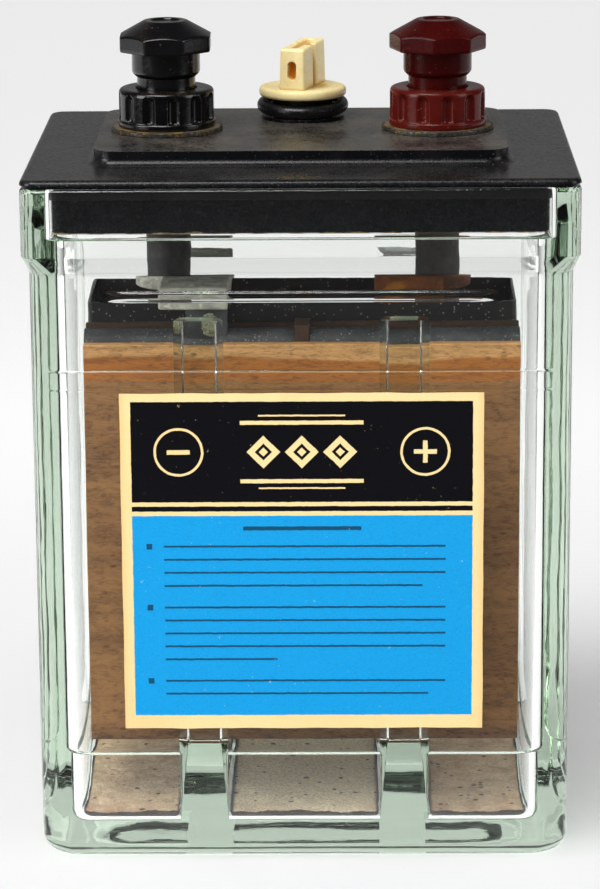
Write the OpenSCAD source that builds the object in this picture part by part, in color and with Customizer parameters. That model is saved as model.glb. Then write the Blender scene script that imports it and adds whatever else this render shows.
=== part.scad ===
// Two-volt glass accumulator: pressed-glass jar, moulded lid, two screw terminals, a pull-out
// vent plug and a three-plate lead pack between wooden boards.
// Millimetres, +Z up, front towards -Y, origin at the middle of the base.

/* [Glass jar] */
// Width of the collar, left to right
collar_w = 121.2; // [112:0.2:136]
// Depth of the collar, front to back
collar_d = 94; // [86:0.2:104]
// Height of the rim above the base
jar_h = 154; // [150:1:180]
// Height of the upright part of the collar
collar_h = 15; // [14:0.5:18]
// Height of the slope under the collar
shoulder_h = 4; // [2:0.5:6]
// How far the collar stands out beyond the body
overhang = 1.4; // [0.8:0.1:2.4]
// Radius of the collar's upright corners
collar_corner_r = 3.5; // [2:0.5:6]
// Radius of the body's upright corners
body_corner_r = 6; // [4:0.5:10]
// Radius of the edge round the base
base_edge_r = 6; // [3:0.5:8]
// Thickness of the body's walls
wall_t = 5.6; // [4.5:0.1:6.5]
// Thickness of the floor
floor_t = 8; // [7:0.5:12]
// Radius of the cavity's upright corners
cavity_corner_r = 6; // [3:0.5:9]
// How far the wells under the pack step in from the cavity's walls
well_step = 1; // [0.5:0.1:2]
// How far the wells' rims lie below the floor ribs' tops
well_drop = 1; // [0.5:0.5:3]
// Rounding above the wells' rims
well_rim_r = 1.5; // [1:0.1:3]
// Radius of the wells' lower edges
well_edge_r = 2.5; // [2:0.1:4]
// Thickness of the collar's wall beside the lid
mouth_wall_t = 5.2; // [4.2:0.1:5.8]
// Depth of the mouth, rim to ledge
mouth_depth = 12; // [11.5:0.5:16]

/* [Ribs and mouldings on the glass] */
// Distance of the ribs from the middle
rib_x = 22.5; // [18:0.5:30]
// Width of the ribs
rib_w = 10.4; // [8:0.2:13]
// Height of the floor ribs above the floor
floor_rib_h = 17; // [12:0.5:22]
// How far the wall ribs stand into the cavity
wall_rib_out = 8.3; // [6:0.1:9]
// Height of the wall ribs' tops above the base
wall_rib_top = 124; // [100:1:130]
// Rounding of the ribs' edges
rib_edge_r = 3; // [1:0.5:4]
// Height of the acid level bar above the base
level_z = 130.2; // [120:0.2:132]
// Length of the acid level bar
level_len = 80.2; // [60:0.2:96]
// Width of the acid level bar
level_w = 2.2; // [1.6:0.1:3]
// How far the acid level bar stands out
level_out = 0.7; // [0.3:0.1:0.9]

/* [Label] */
// Width of the paper label
label_w = 79.8; // [60:0.2:96]
// Height of the paper label
label_h = 77; // [60:0.1:84]
// Height of the label's lower edge above the base
label_z = 31.8; // [15:0.1:34]
// Thickness of the paper with its paste
label_t = 0.25; // [0.2:0.05:0.5]

/* [Lid] */
// Thickness of the flange on the rim
flange_t = 1.9; // [1.5:0.1:3.5]
// Bevel of the flange's lower edge
flange_bevel = 0.6; // [0.2:0.1:1]
// Clearance between lid skirt and collar
skirt_gap = 0.6; // [0.4:0.1:1.2]
// Thickness of the skirt
skirt_t = 3.2; // [2.4:0.1:4]
// How far the skirt reaches below the rim
skirt_h = 10.5; // [8:0.5:11]
// Thickness of the lid's ceiling under the flange's top
ceiling_t = 3; // [2.2:0.1:4]
// Width of the raised platform
platform_w = 91.2; // [88:0.2:100]
// Depth of the raised platform
platform_d = 58; // [54:0.5:66]
// Height of the platform above the flange
platform_h = 3.3; // [2:0.1:4]
// Radius of the platform's upright corners
platform_corner_r = 5; // [3:0.5:8]
// Reach of the cove round the platform's foot
platform_foot = 1.6; // [0.8:0.1:1.8]

/* [Plate pack] */
// Clearance between the pack and each side wall
pack_side_gap = 5; // [2:0.5:8]
// Clearance between neighbouring layers
stack_gap = 0.1; // [0.05:0.01:0.2]
// Thickness of a guard board
board_t = 3; // [2:0.1:4]
// How far a guard board's top lies below the plates' tops
board_drop = 2.4; // [1:0.1:12]
// Thickness of a negative plate
negative_t = 7.4; // [5:0.1:8]
// Height of a plate's frame
plate_h = 94; // [84:0.5:96]
// Thickness of a wooden separator
separator_t = 1.4; // [0.8:0.1:2]
// Thickness of the ebonite envelope's sheet
ebonite_t = 0.8; // [0.5:0.1:1.2]
// How far the ebonite envelope stands above the plates
envelope_rise = 4.8; // [2:0.1:8]
// Inner depth of the ebonite envelope
envelope_in = 26.2; // [22:0.2:27]
// Thickness of the positive plate
positive_t = 16; // [12:0.5:20]
// Width of a plate's outer bars
frame_bar = 5; // [3:0.5:7]
// Width of a plate's thin grid bars
grid_bar = 1.6; // [1:0.1:2.4]
// Depth of the paste below the grid bars
paste_depth = 0.6; // [0.3:0.1:1.2]
// Rows of pellets in a plate
pellet_rows = 8; // [5:1:10]
// Columns of pellets in each half of a plate
pellet_columns = 4; // [3:1:5]
// Width of the wooden spacer strip between the halves of a negative plate
spacer_w = 3.2; // [2:0.1:4]
// Thickness of the dried sediment on the floor
sediment_t = 1.8; // [0.8:0.1:2]

/* [Straps and posts] */
// Distance between the two terminals
terminal_pitch = 61.2; // [56:0.2:64]
// Distance of each strap from the middle
strap_x = 24; // [20:0.5:26]
// Width of a strap
strap_w = 15.4; // [12:0.2:16]
// Thickness of a strap
strap_t = 5; // [3:0.1:6]
// Width of a negative plate's lug
lug_w = 9; // [6:0.5:12]
// How far a negative lug lies inward from the middle of its strap
lug_offset = 3; // [0:0.1:3.2]
// Diameter of a lead post
post_d = 10; // [8:0.2:11]
// Diameter of the round pad under a post
pad_d = 15; // [13:0.5:17]
// Diameter of a threaded stud
stud_d = 6; // [5:0.1:6.4]
// Height of the stud above the platform
stud_up = 20.5; // [19:0.5:21]
// Depth of the stud's root in the post
stud_root = 12; // [8:0.5:16]
// Wall of a rubber bush
bush_wall = 2.2; // [1.6:0.1:2.6]
// Length of the boss under the lid round each bush
boss_h = 4; // [2:0.5:6]
// Wall of the boss under the lid
boss_wall = 2.6; // [2:0.1:3]

/* [Terminals] */
// Diameter of the washer
washer_d = 25.2; // [23:0.2:27]
// Thickness of the washer
washer_t = 1; // [0.6:0.1:1.4]
// Diameter of the lock nut
nut_d = 21.5; // [20:0.1:23]
// Height of the lock nut
nut_h = 8.6; // [7.5:0.1:9.5]
// Height of the plain band at the lock nut's foot
nut_band_h = 1.5; // [1:0.1:2]
// How much wider the lock nut's foot band is
nut_band_out = 0.25; // [0:0.05:0.5]
// Number of flutes round the lock nut
flute_count = 12; // [8:1:14]
// Diameter of a flute
flute_d = 3.2; // [2:0.1:3.8]
// Depth of a flute
flute_deep = 0.9; // [0.5:0.1:1.2]
// Diameter of the knob's spigot
spigot_d = 13.2; // [12.6:0.1:14.4]
// Clearance round and below the spigot in the lock nut
spigot_gap = 0.3; // [0.2:0.05:0.5]
// How far the spigot enters the lock nut
spigot_in = 1; // [0.5:0.1:1.5]
// Gap between lock nut and knob neck, where a wire is clamped
wire_gap = 2.6; // [2:0.1:3.5]
// Diameter of the knob's neck
neck_d = 15.4; // [14.8:0.1:17]
// Height of the knob's neck
neck_h = 5.8; // [4.5:0.1:7]
// Bevel at the neck's foot
neck_bevel = 0.9; // [0.4:0.1:1.4]
// Width of the octagonal head across its flats
head_w = 20.3; // [19:0.1:22]
// Height of the head's flats at a corner
head_h = 3.8; // [3:0.1:5]
// Height of the head's conical top
head_cone_h = 3; // [2:0.1:4]
// Diameter of the flat on the head's top
head_flat_d = 9.6; // [8:0.2:12]
// Diameter of the shallow recess in the head's top
head_recess_d = 6.4; // [4:0.2:7.4]
// Depth of the shallow recess in the head's top
head_recess_deep = 0.4; // [0.2:0.1:0.8]
// How far round the negative knob is screwed
negative_knob_turn = 22.5; // [0:0.5:45]
// How far round the positive knob is screwed
positive_knob_turn = -5; // [-22:0.5:22]
// Diameter of a brass insert
insert_d = 9.2; // [8.2:0.1:10]
// Pitch of the stud's thread
thread_pitch = 1.25; // [1:0.05:1.5]
// Running clearance of the thread, on the radius
thread_gap = 0.05; // [0.03:0.01:0.1]

/* [Vent plug] */
// Distance of the vent behind the middle
vent_y = 16; // [13:0.5:17]
// Height of the seat round the vent hole
vent_seat_h = 0.8; // [0.4:0.1:1.2]
// Diameter of the vent plug's disc
vent_disc_d = 20; // [18:0.2:21]
// Thickness of the vent plug's disc
vent_disc_t = 2.3; // [1.6:0.1:3]
// Diameter of the plug's stem
vent_stem_d = 13.6; // [12.4:0.1:13.8]
// Length of the stem below the seat
vent_stem_len = 13; // [10:0.5:15]
// Wall of the hollow stem
vent_stem_wall = 1.6; // [1.2:0.1:2.4]
// Clearance of the stem in the lid, on the radius
vent_gap = 0.1; // [0.05:0.01:0.2]
// Length of the finger grip
grip_len = 16; // [13:0.2:17]
// Width of the finger grip
grip_w = 5.6; // [4.6:0.1:7]
// Height of the finger grip
grip_h = 10; // [8:0.2:12]
// Turn of the finger grip
grip_turn = -22; // [-45:1:45]
// Diameter of the ring's rubber
ring_t = 3; // [2:0.1:3.2]
// Diameter of the circle through the middle of the ring's rubber
ring_d = 18; // [17.4:0.1:19]
// Tilt of the loose ring
ring_tilt = 4; // [2:0.5:5]

/* [Hidden] */
$fn = 72;
eps = 1;  // overrun of a cutting tool past the face that it opens
seat = 0.05;  // clearance between fixed pieces that sit in one another
// Jar
body_w = collar_w - 2 * overhang;
body_d = collar_d - 2 * overhang;
cavity_w = body_w - 2 * wall_t;
cavity_d = body_d - 2 * wall_t;
mouth_w = collar_w - 2 * mouth_wall_t;
mouth_d = collar_d - 2 * mouth_wall_t;
mouth_corner_r = 3;
ledge_z = jar_h - mouth_depth;
collar_z = jar_h - collar_h;
shoulder_z = collar_z - shoulder_h;
rib_top_z = floor_t + floor_rib_h;
well_w = cavity_w - 2 * well_step;
well_d = cavity_d - 2 * well_step;
well_corner_r = cavity_corner_r - well_step;
well_top_z = rib_top_z - well_drop;
front_y = -body_d / 2;
// Lid
skirt_w = mouth_w - 2 * skirt_gap;
skirt_d = mouth_d - 2 * skirt_gap;
skirt_z = jar_h - skirt_h;
flange_z = jar_h + flange_t;
platform_z = flange_z + platform_h;
ceiling_z = flange_z - ceiling_t;
bush_d = post_d + 2 * bush_wall;
terminal_x = terminal_pitch / 2;
compound_h = 3;  // depth of the sealing compound below the rim
// Plate pack, front to back
pack_w = cavity_w - 2 * pack_side_gap;
pack_y = -cavity_d / 2 + wall_rib_out + stack_gap;
negative_y = pack_y + board_t + stack_gap;
separator_y = negative_y + negative_t + stack_gap;
envelope_y = separator_y + separator_t + stack_gap;
envelope_d = envelope_in + 2 * ebonite_t;
pack_mid_y = envelope_y + envelope_d / 2;
envelope_top = rib_top_z + plate_h + envelope_rise;
envelope_w = pack_w - 0.8;  // the envelope is a little narrower than the boards
positive_w = envelope_w - 2 * ebonite_t - 2;  // the positive plate hangs free inside it
strap_z = envelope_top + stack_gap;
strap_top = strap_z + strap_t;
strap_pocket = strap_t / 2;  // depth of the pocket that a post stands in
slot_w = spacer_w + 2 * stack_gap;
spacer_up = 1.4;  // how far the spacer strip stands above the plate
separator_up = 0.4;  // how far the thin separator stands above the plate
foot_bar = 6;  // height of the bar that joins the halves of a plate
lug_inset = 1;  // how far a negative lug is thinner than its plate, on each face
// Terminals
post_sink = 0.3;  // how far a post ends below the platform's top
washer_gap = 0.3;  // clearance of the stud in a washer, on the radius
stud_end_gap = 0.3;  // clearance above the stud's tip in the knob's insert
insert_cap = 0.3;  // closed end of the knob's insert
head_sides = 8;
post_top = platform_z - post_sink;
nut_z = platform_z + washer_t + seat;
nut_top = nut_z + nut_h;
spigot_z = nut_top - spigot_in;
neck_z = nut_top + wire_gap;
head_z = neck_z + neck_h;
stud_top = platform_z + stud_up;
nut_lift = thread_pitch;  // the lock nut turns back once
spigot_recess = spigot_in + nut_lift + spigot_gap;
insert_bore_d = stud_d + 2 * thread_gap;
knob_insert_top = stud_top + stud_end_gap + insert_cap;
head_corner_r = head_w / 2 / cos(180 / head_sides);
// Vent
vent_hole_d = vent_stem_d + 2 * vent_gap;
vent_seat_d = ring_d + 1;
vent_seat_z = platform_z + vent_seat_h;
ring_rise = ring_d / 2 * sin(ring_tilt) + ring_t / 2;
ring_z = vent_seat_z + ring_rise + seat;
disc_z = ring_z + ring_rise + seat;
disc_top = disc_z + vent_disc_t;
vent_boss_wall = 2.2;
lobe_len = 5.6;  // length of each end of the finger grip
gas_hole_d = 1;
gas_hole_x = 4;  // distance of the gas hole from the plug's axis

module rounded_rect(w, d, r) {
    square([w - 2 * r, d], center = true);
    square([w, d - 2 * r], center = true);
    for (sx = [-1, 1], sy = [-1, 1])
        translate([sx * (w / 2 - r), sy * (d / 2 - r)])
            circle(r);
}

module block(w, d, r, z0, z1) {
    translate([0, 0, z0])
        linear_extrude(z1 - z0)
            rounded_rect(w, d, r);
}

// A flat shape drawn in X and Z, carried front to back
module along_y(len) {
    rotate([90, 0, 0])
        linear_extrude(len, center = true)
            children();
}

// A flat shape drawn in Y and Z, carried left to right
module along_x(len) {
    rotate([90, 0, 90])
        linear_extrude(len, center = true)
            children();
}

// Side view of a tub with round lower corners
module tub_profile(w, z0, z1, r) {
    translate([-w / 2 + r, z0])
        square([w - 2 * r, z1 - z0]);
    translate([-w / 2, z0 + r])
        square([w, z1 - z0 - r]);
    for (s = [-1, 1])
        translate([s * (w / 2 - r), z0 + r])
            circle(r);
}

module tub(w, d, corner, edge, z0, z1) {
    intersection() {
        block(w, d, corner, z0, z1);
        along_y(d + 2 * eps) tub_profile(w, z0, z1, edge);
        along_x(w + 2 * eps) tub_profile(d, z0, z1, edge);
    }
}

// Side view of the collar with its slope
module collar_profile(w) {
    polygon([
        [-w / 2 + overhang, shoulder_z], [w / 2 - overhang, shoulder_z],
        [w / 2, collar_z], [w / 2, jar_h], [-w / 2, jar_h], [-w / 2, collar_z]
    ]);
}

module collar() {
    intersection() {
        block(collar_w, collar_d, collar_corner_r, shoulder_z, jar_h);
        along_y(collar_d + 2 * eps) collar_profile(collar_w);
        along_x(collar_w + 2 * eps) collar_profile(collar_d);
    }
}

// One rib up the front or rear wall, with a round nose and a round top
module wall_rib(x, side) {
    root = 2;
    out = wall_rib_out + root;
    mid = side * (cavity_d / 2 + root - out / 2);
    intersection() {
        translate([x, mid, floor_t - root])
            linear_extrude(wall_rib_top - floor_t + root)
                rounded_rect(rib_w, out, rib_edge_r);
        along_x(collar_w)
            union() {
                translate([mid - out / 2, floor_t - root])
                    square([out, wall_rib_top - wall_rib_out - floor_t + root]);
                translate([side * cavity_d / 2, wall_rib_top - wall_rib_out])
                    circle(wall_rib_out);
            }
    }
}

// One rib across the floor, which carries the plate pack
module floor_rib(x) {
    root = 2;
    along_y(cavity_d + root)
        translate([x, 0]) {
            translate([-rib_w / 2, floor_t - root])
                square([rib_w, floor_rib_h + root - rib_edge_r]);
            translate([-rib_w / 2 + rib_edge_r, floor_t - root])
                square([rib_w - 2 * rib_edge_r, floor_rib_h + root]);
            for (s = [-1, 1])
                translate([s * (rib_w / 2 - rib_edge_r), rib_top_z - rib_edge_r])
                    circle(rib_edge_r);
        }
}

// Raised bar on the front glass that marks the acid level
module level_bar() {
    intersection() {
        translate([0, front_y, level_z])
            rotate([0, 90, 0])
                cylinder(h = level_len, d = level_w, center = true);
        translate([-level_len / 2, front_y - level_out, level_z - level_w / 2])
            cube([level_len, level_out + eps, level_w]);
    }
}

module glass_jar() {
    color("palegreen", 0.45)
        union() {
            difference() {
                union() {
                    tub(body_w, body_d, body_corner_r, base_edge_r, 0, shoulder_z);
                    collar();
                }
                tub(cavity_w, cavity_d, cavity_corner_r, well_rim_r, well_top_z, ledge_z + eps);
                tub(well_w, well_d, well_corner_r, well_edge_r, floor_t, well_top_z + 2 * well_rim_r);
                block(mouth_w, mouth_d, mouth_corner_r, ledge_z, jar_h + eps);
            }
            for (x = [-rib_x, rib_x]) {
                floor_rib(x);
                for (side = [-1, 1])
                    wall_rib(x, side);
            }
            level_bar();
        }
}

module front_label() {
    color("cornsilk")
        translate([-label_w / 2, front_y - label_t, label_z])
            cube([label_w, label_t, label_h]);
}

module terminal_places() {
    for (x = [-terminal_x, terminal_x])
        translate([x, 0, 0])
            children();
}

// Flange outline with a bevel at its lower edge
module flange() {
    block(collar_w, collar_d, collar_corner_r, jar_h + flange_bevel, flange_z);
    block(collar_w - 2 * flange_bevel, collar_d - 2 * flange_bevel, collar_corner_r - flange_bevel,
        jar_h, jar_h + flange_bevel);
}

// Hollow moulding in outline: it meets wall and floor at a slight angle and has a root in both
module cove_profile(reach) {
    root = 0.5;
    centre = 1.3 * reach;
    difference() {
        translate([-root, -root])
            square(reach + root);
        translate([centre, centre])
            circle(norm([centre, centre - reach]));
    }
}

// Carry an outline round a block at height z: its X points outward, its Y upward
module round_block(w, d, r, z) {
    for (side = [0:3]) {
        across = side % 2 == 0 ? w : d;
        along = side % 2 == 0 ? d : w;
        rotate([0, 0, 90 * side]) {
            translate([across / 2, 0, z])
                rotate([90, 0, 0])
                    linear_extrude(along - 2 * r, center = true)
                        children();
            translate([across / 2 - r, along / 2 - r, z])
                rotate_extrude(angle = 90)
                    translate([r, 0])
                        children();
        }
    }
}

module lid() {
    vent_boss_d = vent_hole_d + 2 * vent_boss_wall;
    boss_d = bush_d + 2 * boss_wall;
    color("dimgray")
        difference() {
            union() {
                difference() {
                    union() {
                        flange();
                        block(skirt_w, skirt_d, mouth_corner_r, skirt_z, flange_z);
                    }
                    block(skirt_w - 2 * skirt_t, skirt_d - 2 * skirt_t, mouth_corner_r,
                        skirt_z - eps, ceiling_z);
                }
                block(platform_w, platform_d, platform_corner_r, flange_z, platform_z);
                round_block(platform_w, platform_d, platform_corner_r, flange_z)
                    cove_profile(platform_foot);
                terminal_places()
                    translate([0, 0, ceiling_z - boss_h])
                        cylinder(h = boss_h + eps, d = boss_d);
                translate([0, vent_y, ceiling_z - boss_h])
                    cylinder(h = boss_h + eps, d = vent_boss_d);
                translate([0, vent_y, platform_z - eps])
                    cylinder(h = vent_seat_h + eps, d = vent_seat_d);
            }
            terminal_places()
                translate([0, 0, skirt_z])
                    cylinder(h = jar_h, d = bush_d + 2 * seat);
            translate([0, vent_y, skirt_z])
                cylinder(h = jar_h, d = vent_hole_d);
        }
}

// Bead of compound that seals the lid's skirt into the collar
module sealing_compound() {
    color("black")
        difference() {
            block(mouth_w - 2 * seat, mouth_d - 2 * seat, mouth_corner_r - seat,
                jar_h - compound_h, jar_h - seat);
            block(skirt_w + 2 * seat, skirt_d + 2 * seat, mouth_corner_r,
                jar_h - compound_h - eps, jar_h + eps);
        }
}

// Dried sediment in the three wells between the floor ribs
module sediment_bed() {
    color("rosybrown")
        difference() {
            intersection() {
                tub(well_w - 2 * seat, well_d - 2 * seat, well_corner_r - seat, well_edge_r,
                    floor_t + seat, well_top_z);
                block(well_w, well_d, well_corner_r, floor_t, floor_t + seat + sediment_t);
            }
            for (x = [-rib_x, rib_x]) {
                translate([x, 0, floor_t])
                    cube([rib_w + 2 * seat, cavity_d, 4 * sediment_t], center = true);
                for (side = [-1, 1])
                    translate([x, side * cavity_d / 2, floor_t])
                        cube([rib_w + 2 * seat, 2 * wall_rib_out + 2 * seat, 4 * sediment_t], center = true);
            }
        }
}

// A plain upright layer of the pack: its front face at y, its thickness t, its height h
module layer(y, t, h, w = pack_w) {
    translate([-w / 2, y, rib_top_z + seat])
        cube([w, t, h]);
}

// Mirror a front layer to the same place behind the middle of the pack
module behind() {
    translate([0, 2 * pack_mid_y, 0])
        mirror([0, 1, 0])
            children();
}

module guard_board() {
    color("peru") layer(pack_y, board_t, plate_h - board_drop);
}

module front_guard_board() {
    guard_board();
}

module rear_guard_board() {
    behind() guard_board();
}

// Pockets of the grid in one half of a plate, drawn in X and Z from the half's lower corner
module pellet_pockets(half_w, h) {
    cell_w = (half_w - 2 * frame_bar + grid_bar) / pellet_columns;
    cell_h = (h - foot_bar - frame_bar + grid_bar) / pellet_rows;
    for (i = [0 : pellet_columns - 1], j = [0 : pellet_rows - 1])
        translate([frame_bar + i * cell_w, foot_bar + j * cell_h])
            square([cell_w - grid_bar, cell_h - grid_bar]);
}

// A pasted lead plate in two halves joined at the foot, with the paste set back in its grid
module pasted_plate(y, t, split) {
    half_w = (pack_w - split) / 2;
    difference() {
        union() {
            layer(y, t, plate_h - t / 2);
            translate([-pack_w / 2, y + t / 2, rib_top_z + seat + plate_h - t / 2])
                rotate([0, 90, 0])
                    cylinder(h = pack_w, d = t);
        }
        if (split > 0)
            translate([-split / 2, y - eps, rib_top_z + foot_bar])
                cube([split, t + 2 * eps, plate_h]);
        for (x = [-pack_w / 2, pack_w / 2 - half_w], face = [y + paste_depth, y + t + eps])
            translate([x, face, rib_top_z + seat])
                rotate([90, 0, 0])
                    linear_extrude(paste_depth + eps)
                        pellet_pockets(half_w, plate_h - t / 2);
    }
}

// Lug from a negative plate's top bar up to the strap
module negative_lug() {
    lug_z = rib_top_z + plate_h - negative_t;
    translate([-strap_x - lug_w / 2 + lug_offset, negative_y + lug_inset, lug_z])
        cube([lug_w, negative_t - 2 * lug_inset, strap_z - seat - lug_z]);
}

module negative_plate() {
    color("slategray")
        union() {
            pasted_plate(negative_y, negative_t, slot_w);
            negative_lug();
        }
}

module front_negative_plate() {
    negative_plate();
}

module rear_negative_plate() {
    behind() negative_plate();
}

module spacer_strip() {
    color("saddlebrown")
        translate([-spacer_w / 2, negative_y, rib_top_z + foot_bar + seat])
            cube([spacer_w, negative_t, plate_h - foot_bar + spacer_up]);
}

module front_spacer_strip() {
    spacer_strip();
}

module rear_spacer_strip() {
    behind() spacer_strip();
}

module wood_separator() {
    color("sienna") layer(separator_y, separator_t, plate_h + separator_up);
}

module front_wood_separator() {
    wood_separator();
}

module rear_wood_separator() {
    behind() wood_separator();
}

// Ebonite sheet folded into an open-topped sleeve round the positive plate
module ebonite_envelope() {
    fold_r = 2 * ebonite_t;
    color([0.12, 0.12, 0.14])
        translate([0, pack_mid_y, 0])
            difference() {
                block(envelope_w, envelope_d, fold_r, rib_top_z + seat, envelope_top);
                block(envelope_w - 2 * ebonite_t, envelope_in, fold_r - ebonite_t,
                    rib_top_z - eps, envelope_top + eps);
            }
}

module positive_plate() {
    y = pack_mid_y - positive_t / 2;
    color("saddlebrown")
        union() {
            difference() {
                layer(y, positive_t, plate_h, positive_w);
                for (x = [-positive_w / 2, 0], face = [y + paste_depth, y + positive_t + eps])
                    translate([x, face, rib_top_z + seat])
                        rotate([90, 0, 0])
                            linear_extrude(paste_depth + eps)
                                pellet_pockets(positive_w / 2, plate_h);
            }
            translate([strap_x - strap_w / 2, y, rib_top_z + plate_h - eps])
                cube([strap_w, positive_t, strap_z - rib_top_z - plate_h + eps - seat]);
        }
}

// Lead bar along Y with a round pad for the post at its outer side
module strap(side, y0, y1) {
    difference() {
        union() {
            translate([side * strap_x - strap_w / 2, y0, strap_z])
                cube([strap_w, y1 - y0, strap_t]);
            translate([side * terminal_x, 0, strap_z])
                cylinder(h = strap_t, d = pad_d);
        }
        translate([side * terminal_x, 0, strap_top - strap_pocket])
            cylinder(h = strap_t, d = post_d + 2 * seat);
    }
}

module negative_strap() {
    color("darkgray") strap(-1, negative_y, 2 * pack_mid_y - negative_y);
}

module positive_strap() {
    reach = max(positive_t / 2, pad_d / 2 - pack_mid_y);
    color("saddlebrown") strap(1, pack_mid_y - positive_t / 2, pack_mid_y + reach);
}

module post(side) {
    z0 = strap_top - strap_pocket + seat;
    translate([side * terminal_x, 0, z0])
        difference() {
            cylinder(h = post_top - z0, d = post_d);
            translate([0, 0, post_top - z0 - stud_root + seat])
                cylinder(h = stud_root + eps, d = stud_d + 2 * seat);
        }
}

module negative_post() {
    color("gray") post(-1);
}

module positive_post() {
    color("gray") post(1);
}

module stud(side) {
    tip = 0.8;
    z0 = post_top - stud_root + 2 * seat;
    translate([side * terminal_x, 0, z0]) {
        cylinder(h = stud_top - tip - z0, d = stud_d);
        translate([0, 0, stud_top - tip - z0])
            cylinder(h = tip, d1 = stud_d, d2 = stud_d - 2 * tip);
    }
}

module negative_stud() {
    color("darkkhaki") stud(-1);
}

module positive_stud() {
    color("darkkhaki") stud(1);
}

// Rubber bush round a post, with a lip under the lid's boss
module bush(side) {
    z0 = ceiling_z - boss_h - seat;
    lip_t = 1.5;
    translate([side * terminal_x, 0, z0])
        difference() {
            union() {
                cylinder(h = platform_z - seat - z0, d = bush_d);
                translate([0, 0, -lip_t])
                    cylinder(h = lip_t, d = bush_d + 2 * boss_wall);
            }
            translate([0, 0, -lip_t - eps])
                cylinder(h = platform_z, d = post_d + 2 * seat);
        }
}

module negative_bush() {
    color([0.1, 0.1, 0.1]) bush(-1);
}

module positive_bush() {
    color([0.1, 0.1, 0.1]) bush(1);
}

module washer(side) {
    translate([side * terminal_x, 0, platform_z])
        difference() {
            cylinder(h = washer_t, d = washer_d);
            translate([0, 0, -eps])
                cylinder(h = washer_t + 2 * eps, d = stud_d + 2 * washer_gap);
        }
}

module negative_washer() {
    color("rosybrown") washer(-1);
}

module positive_washer() {
    color("rosybrown") washer(1);
}

// Fluted lock nut with a recess for the knob's spigot and a bore for its brass insert
module lock_nut(side) {
    top_round = 1.4;
    flute_r = nut_d / 2 - flute_deep + flute_d / 2;
    flute_top = nut_h - top_round - flute_d / 2;
    translate([side * terminal_x, 0, nut_z])
        difference() {
            union() {
                rotate_extrude()
                    union() {
                        square([nut_d / 2 - top_round, nut_h]);
                        square([nut_d / 2, nut_h - top_round]);
                        translate([nut_d / 2 - top_round, nut_h - top_round])
                            intersection() {
                                circle(top_round);
                                square(top_round);
                            }
                    }
                cylinder(h = nut_band_h, d = nut_d + 2 * nut_band_out);
            }
            for (i = [0 : flute_count - 1])
                rotate([0, 0, (i + 0.5) * 360 / flute_count])
                    translate([flute_r, 0, 0]) {
                        translate([0, 0, nut_band_h])
                            cylinder(h = flute_top - nut_band_h, d = flute_d);
                        translate([0, 0, flute_top])
                            sphere(d = flute_d);
                    }
            translate([0, 0, nut_h - spigot_recess])
                cylinder(h = spigot_recess + eps, d = spigot_d + 2 * spigot_gap);
            translate([0, 0, -eps])
                cylinder(h = nut_h + 2 * eps, d = insert_d + 2 * seat);
        }
}

module negative_lock_nut() {
    color([0.09, 0.09, 0.1]) lock_nut(-1);
}

module positive_lock_nut() {
    color([0.35, 0.09, 0.09]) lock_nut(1);
}

module nut_insert(side) {
    translate([side * terminal_x, 0, nut_z])
        difference() {
            cylinder(h = nut_h - spigot_recess, d = insert_d);
            translate([0, 0, -eps])
                cylinder(h = nut_h + 2 * eps, d = insert_bore_d);
        }
}

module negative_nut_insert() {
    color("goldenrod") nut_insert(-1);
}

module positive_nut_insert() {
    color("goldenrod") nut_insert(1);
}

// Octagonal head with a turned conical top and a shallow recess
module knob_head(turn) {
    full_h = head_h + head_cone_h;
    rise = head_cone_h / (head_w / 2 - head_flat_d / 2);
    cone_r = head_corner_r + eps;
    cone_h = (cone_r - head_flat_d / 2) * rise;
    rotate([0, 0, turn])
        difference() {
            intersection() {
                cylinder(h = full_h, r = head_corner_r, $fn = head_sides);
                rotate([0, 0, 90 / head_sides])
                    union() {
                        cylinder(h = full_h - cone_h, r = cone_r);
                        translate([0, 0, full_h - cone_h])
                            cylinder(h = cone_h, r1 = cone_r, r2 = head_flat_d / 2);
                    }
            }
            translate([0, 0, full_h - head_recess_deep])
                cylinder(h = head_recess_deep + eps, d = head_recess_d);
        }
}

module knob(side, turn) {
    translate([side * terminal_x, 0, 0])
        difference() {
            union() {
                translate([0, 0, spigot_z])
                    cylinder(h = neck_z - spigot_z, d = spigot_d);
                translate([0, 0, neck_z])
                    cylinder(h = neck_bevel, d1 = neck_d - 2 * neck_bevel, d2 = neck_d);
                translate([0, 0, neck_z + neck_bevel])
                    cylinder(h = neck_h - neck_bevel, d = neck_d);
                translate([0, 0, head_z])
                    knob_head(turn);
            }
            translate([0, 0, spigot_z - eps])
                cylinder(h = knob_insert_top - spigot_z + seat + eps, d = insert_d + 2 * seat);
        }
}

module negative_knob() {
    color([0.09, 0.09, 0.1]) knob(-1, negative_knob_turn);
}

module positive_knob() {
    color([0.4, 0.09, 0.09]) knob(1, positive_knob_turn);
}

module knob_insert(side) {
    translate([side * terminal_x, 0, spigot_z])
        difference() {
            cylinder(h = knob_insert_top - spigot_z, d = insert_d);
            translate([0, 0, -eps])
                cylinder(h = stud_top + stud_end_gap - spigot_z + eps, d = insert_bore_d);
        }
}

module negative_knob_insert() {
    color("goldenrod") knob_insert(-1);
}

module positive_knob_insert() {
    color("goldenrod") knob_insert(1);
}

// Outline of the finger grip seen from above: two round-cornered lobes and a narrower web
module grip_outline() {
    web_inset = 1.25;
    lobe_r = 0.8;
    for (s = [-1, 1])
        translate([0, s * (grip_len - lobe_len) / 2])
            rounded_rect(grip_w, lobe_len, lobe_r);
    square([grip_w - 2 * web_inset, grip_len - lobe_len], center = true);
}

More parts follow.
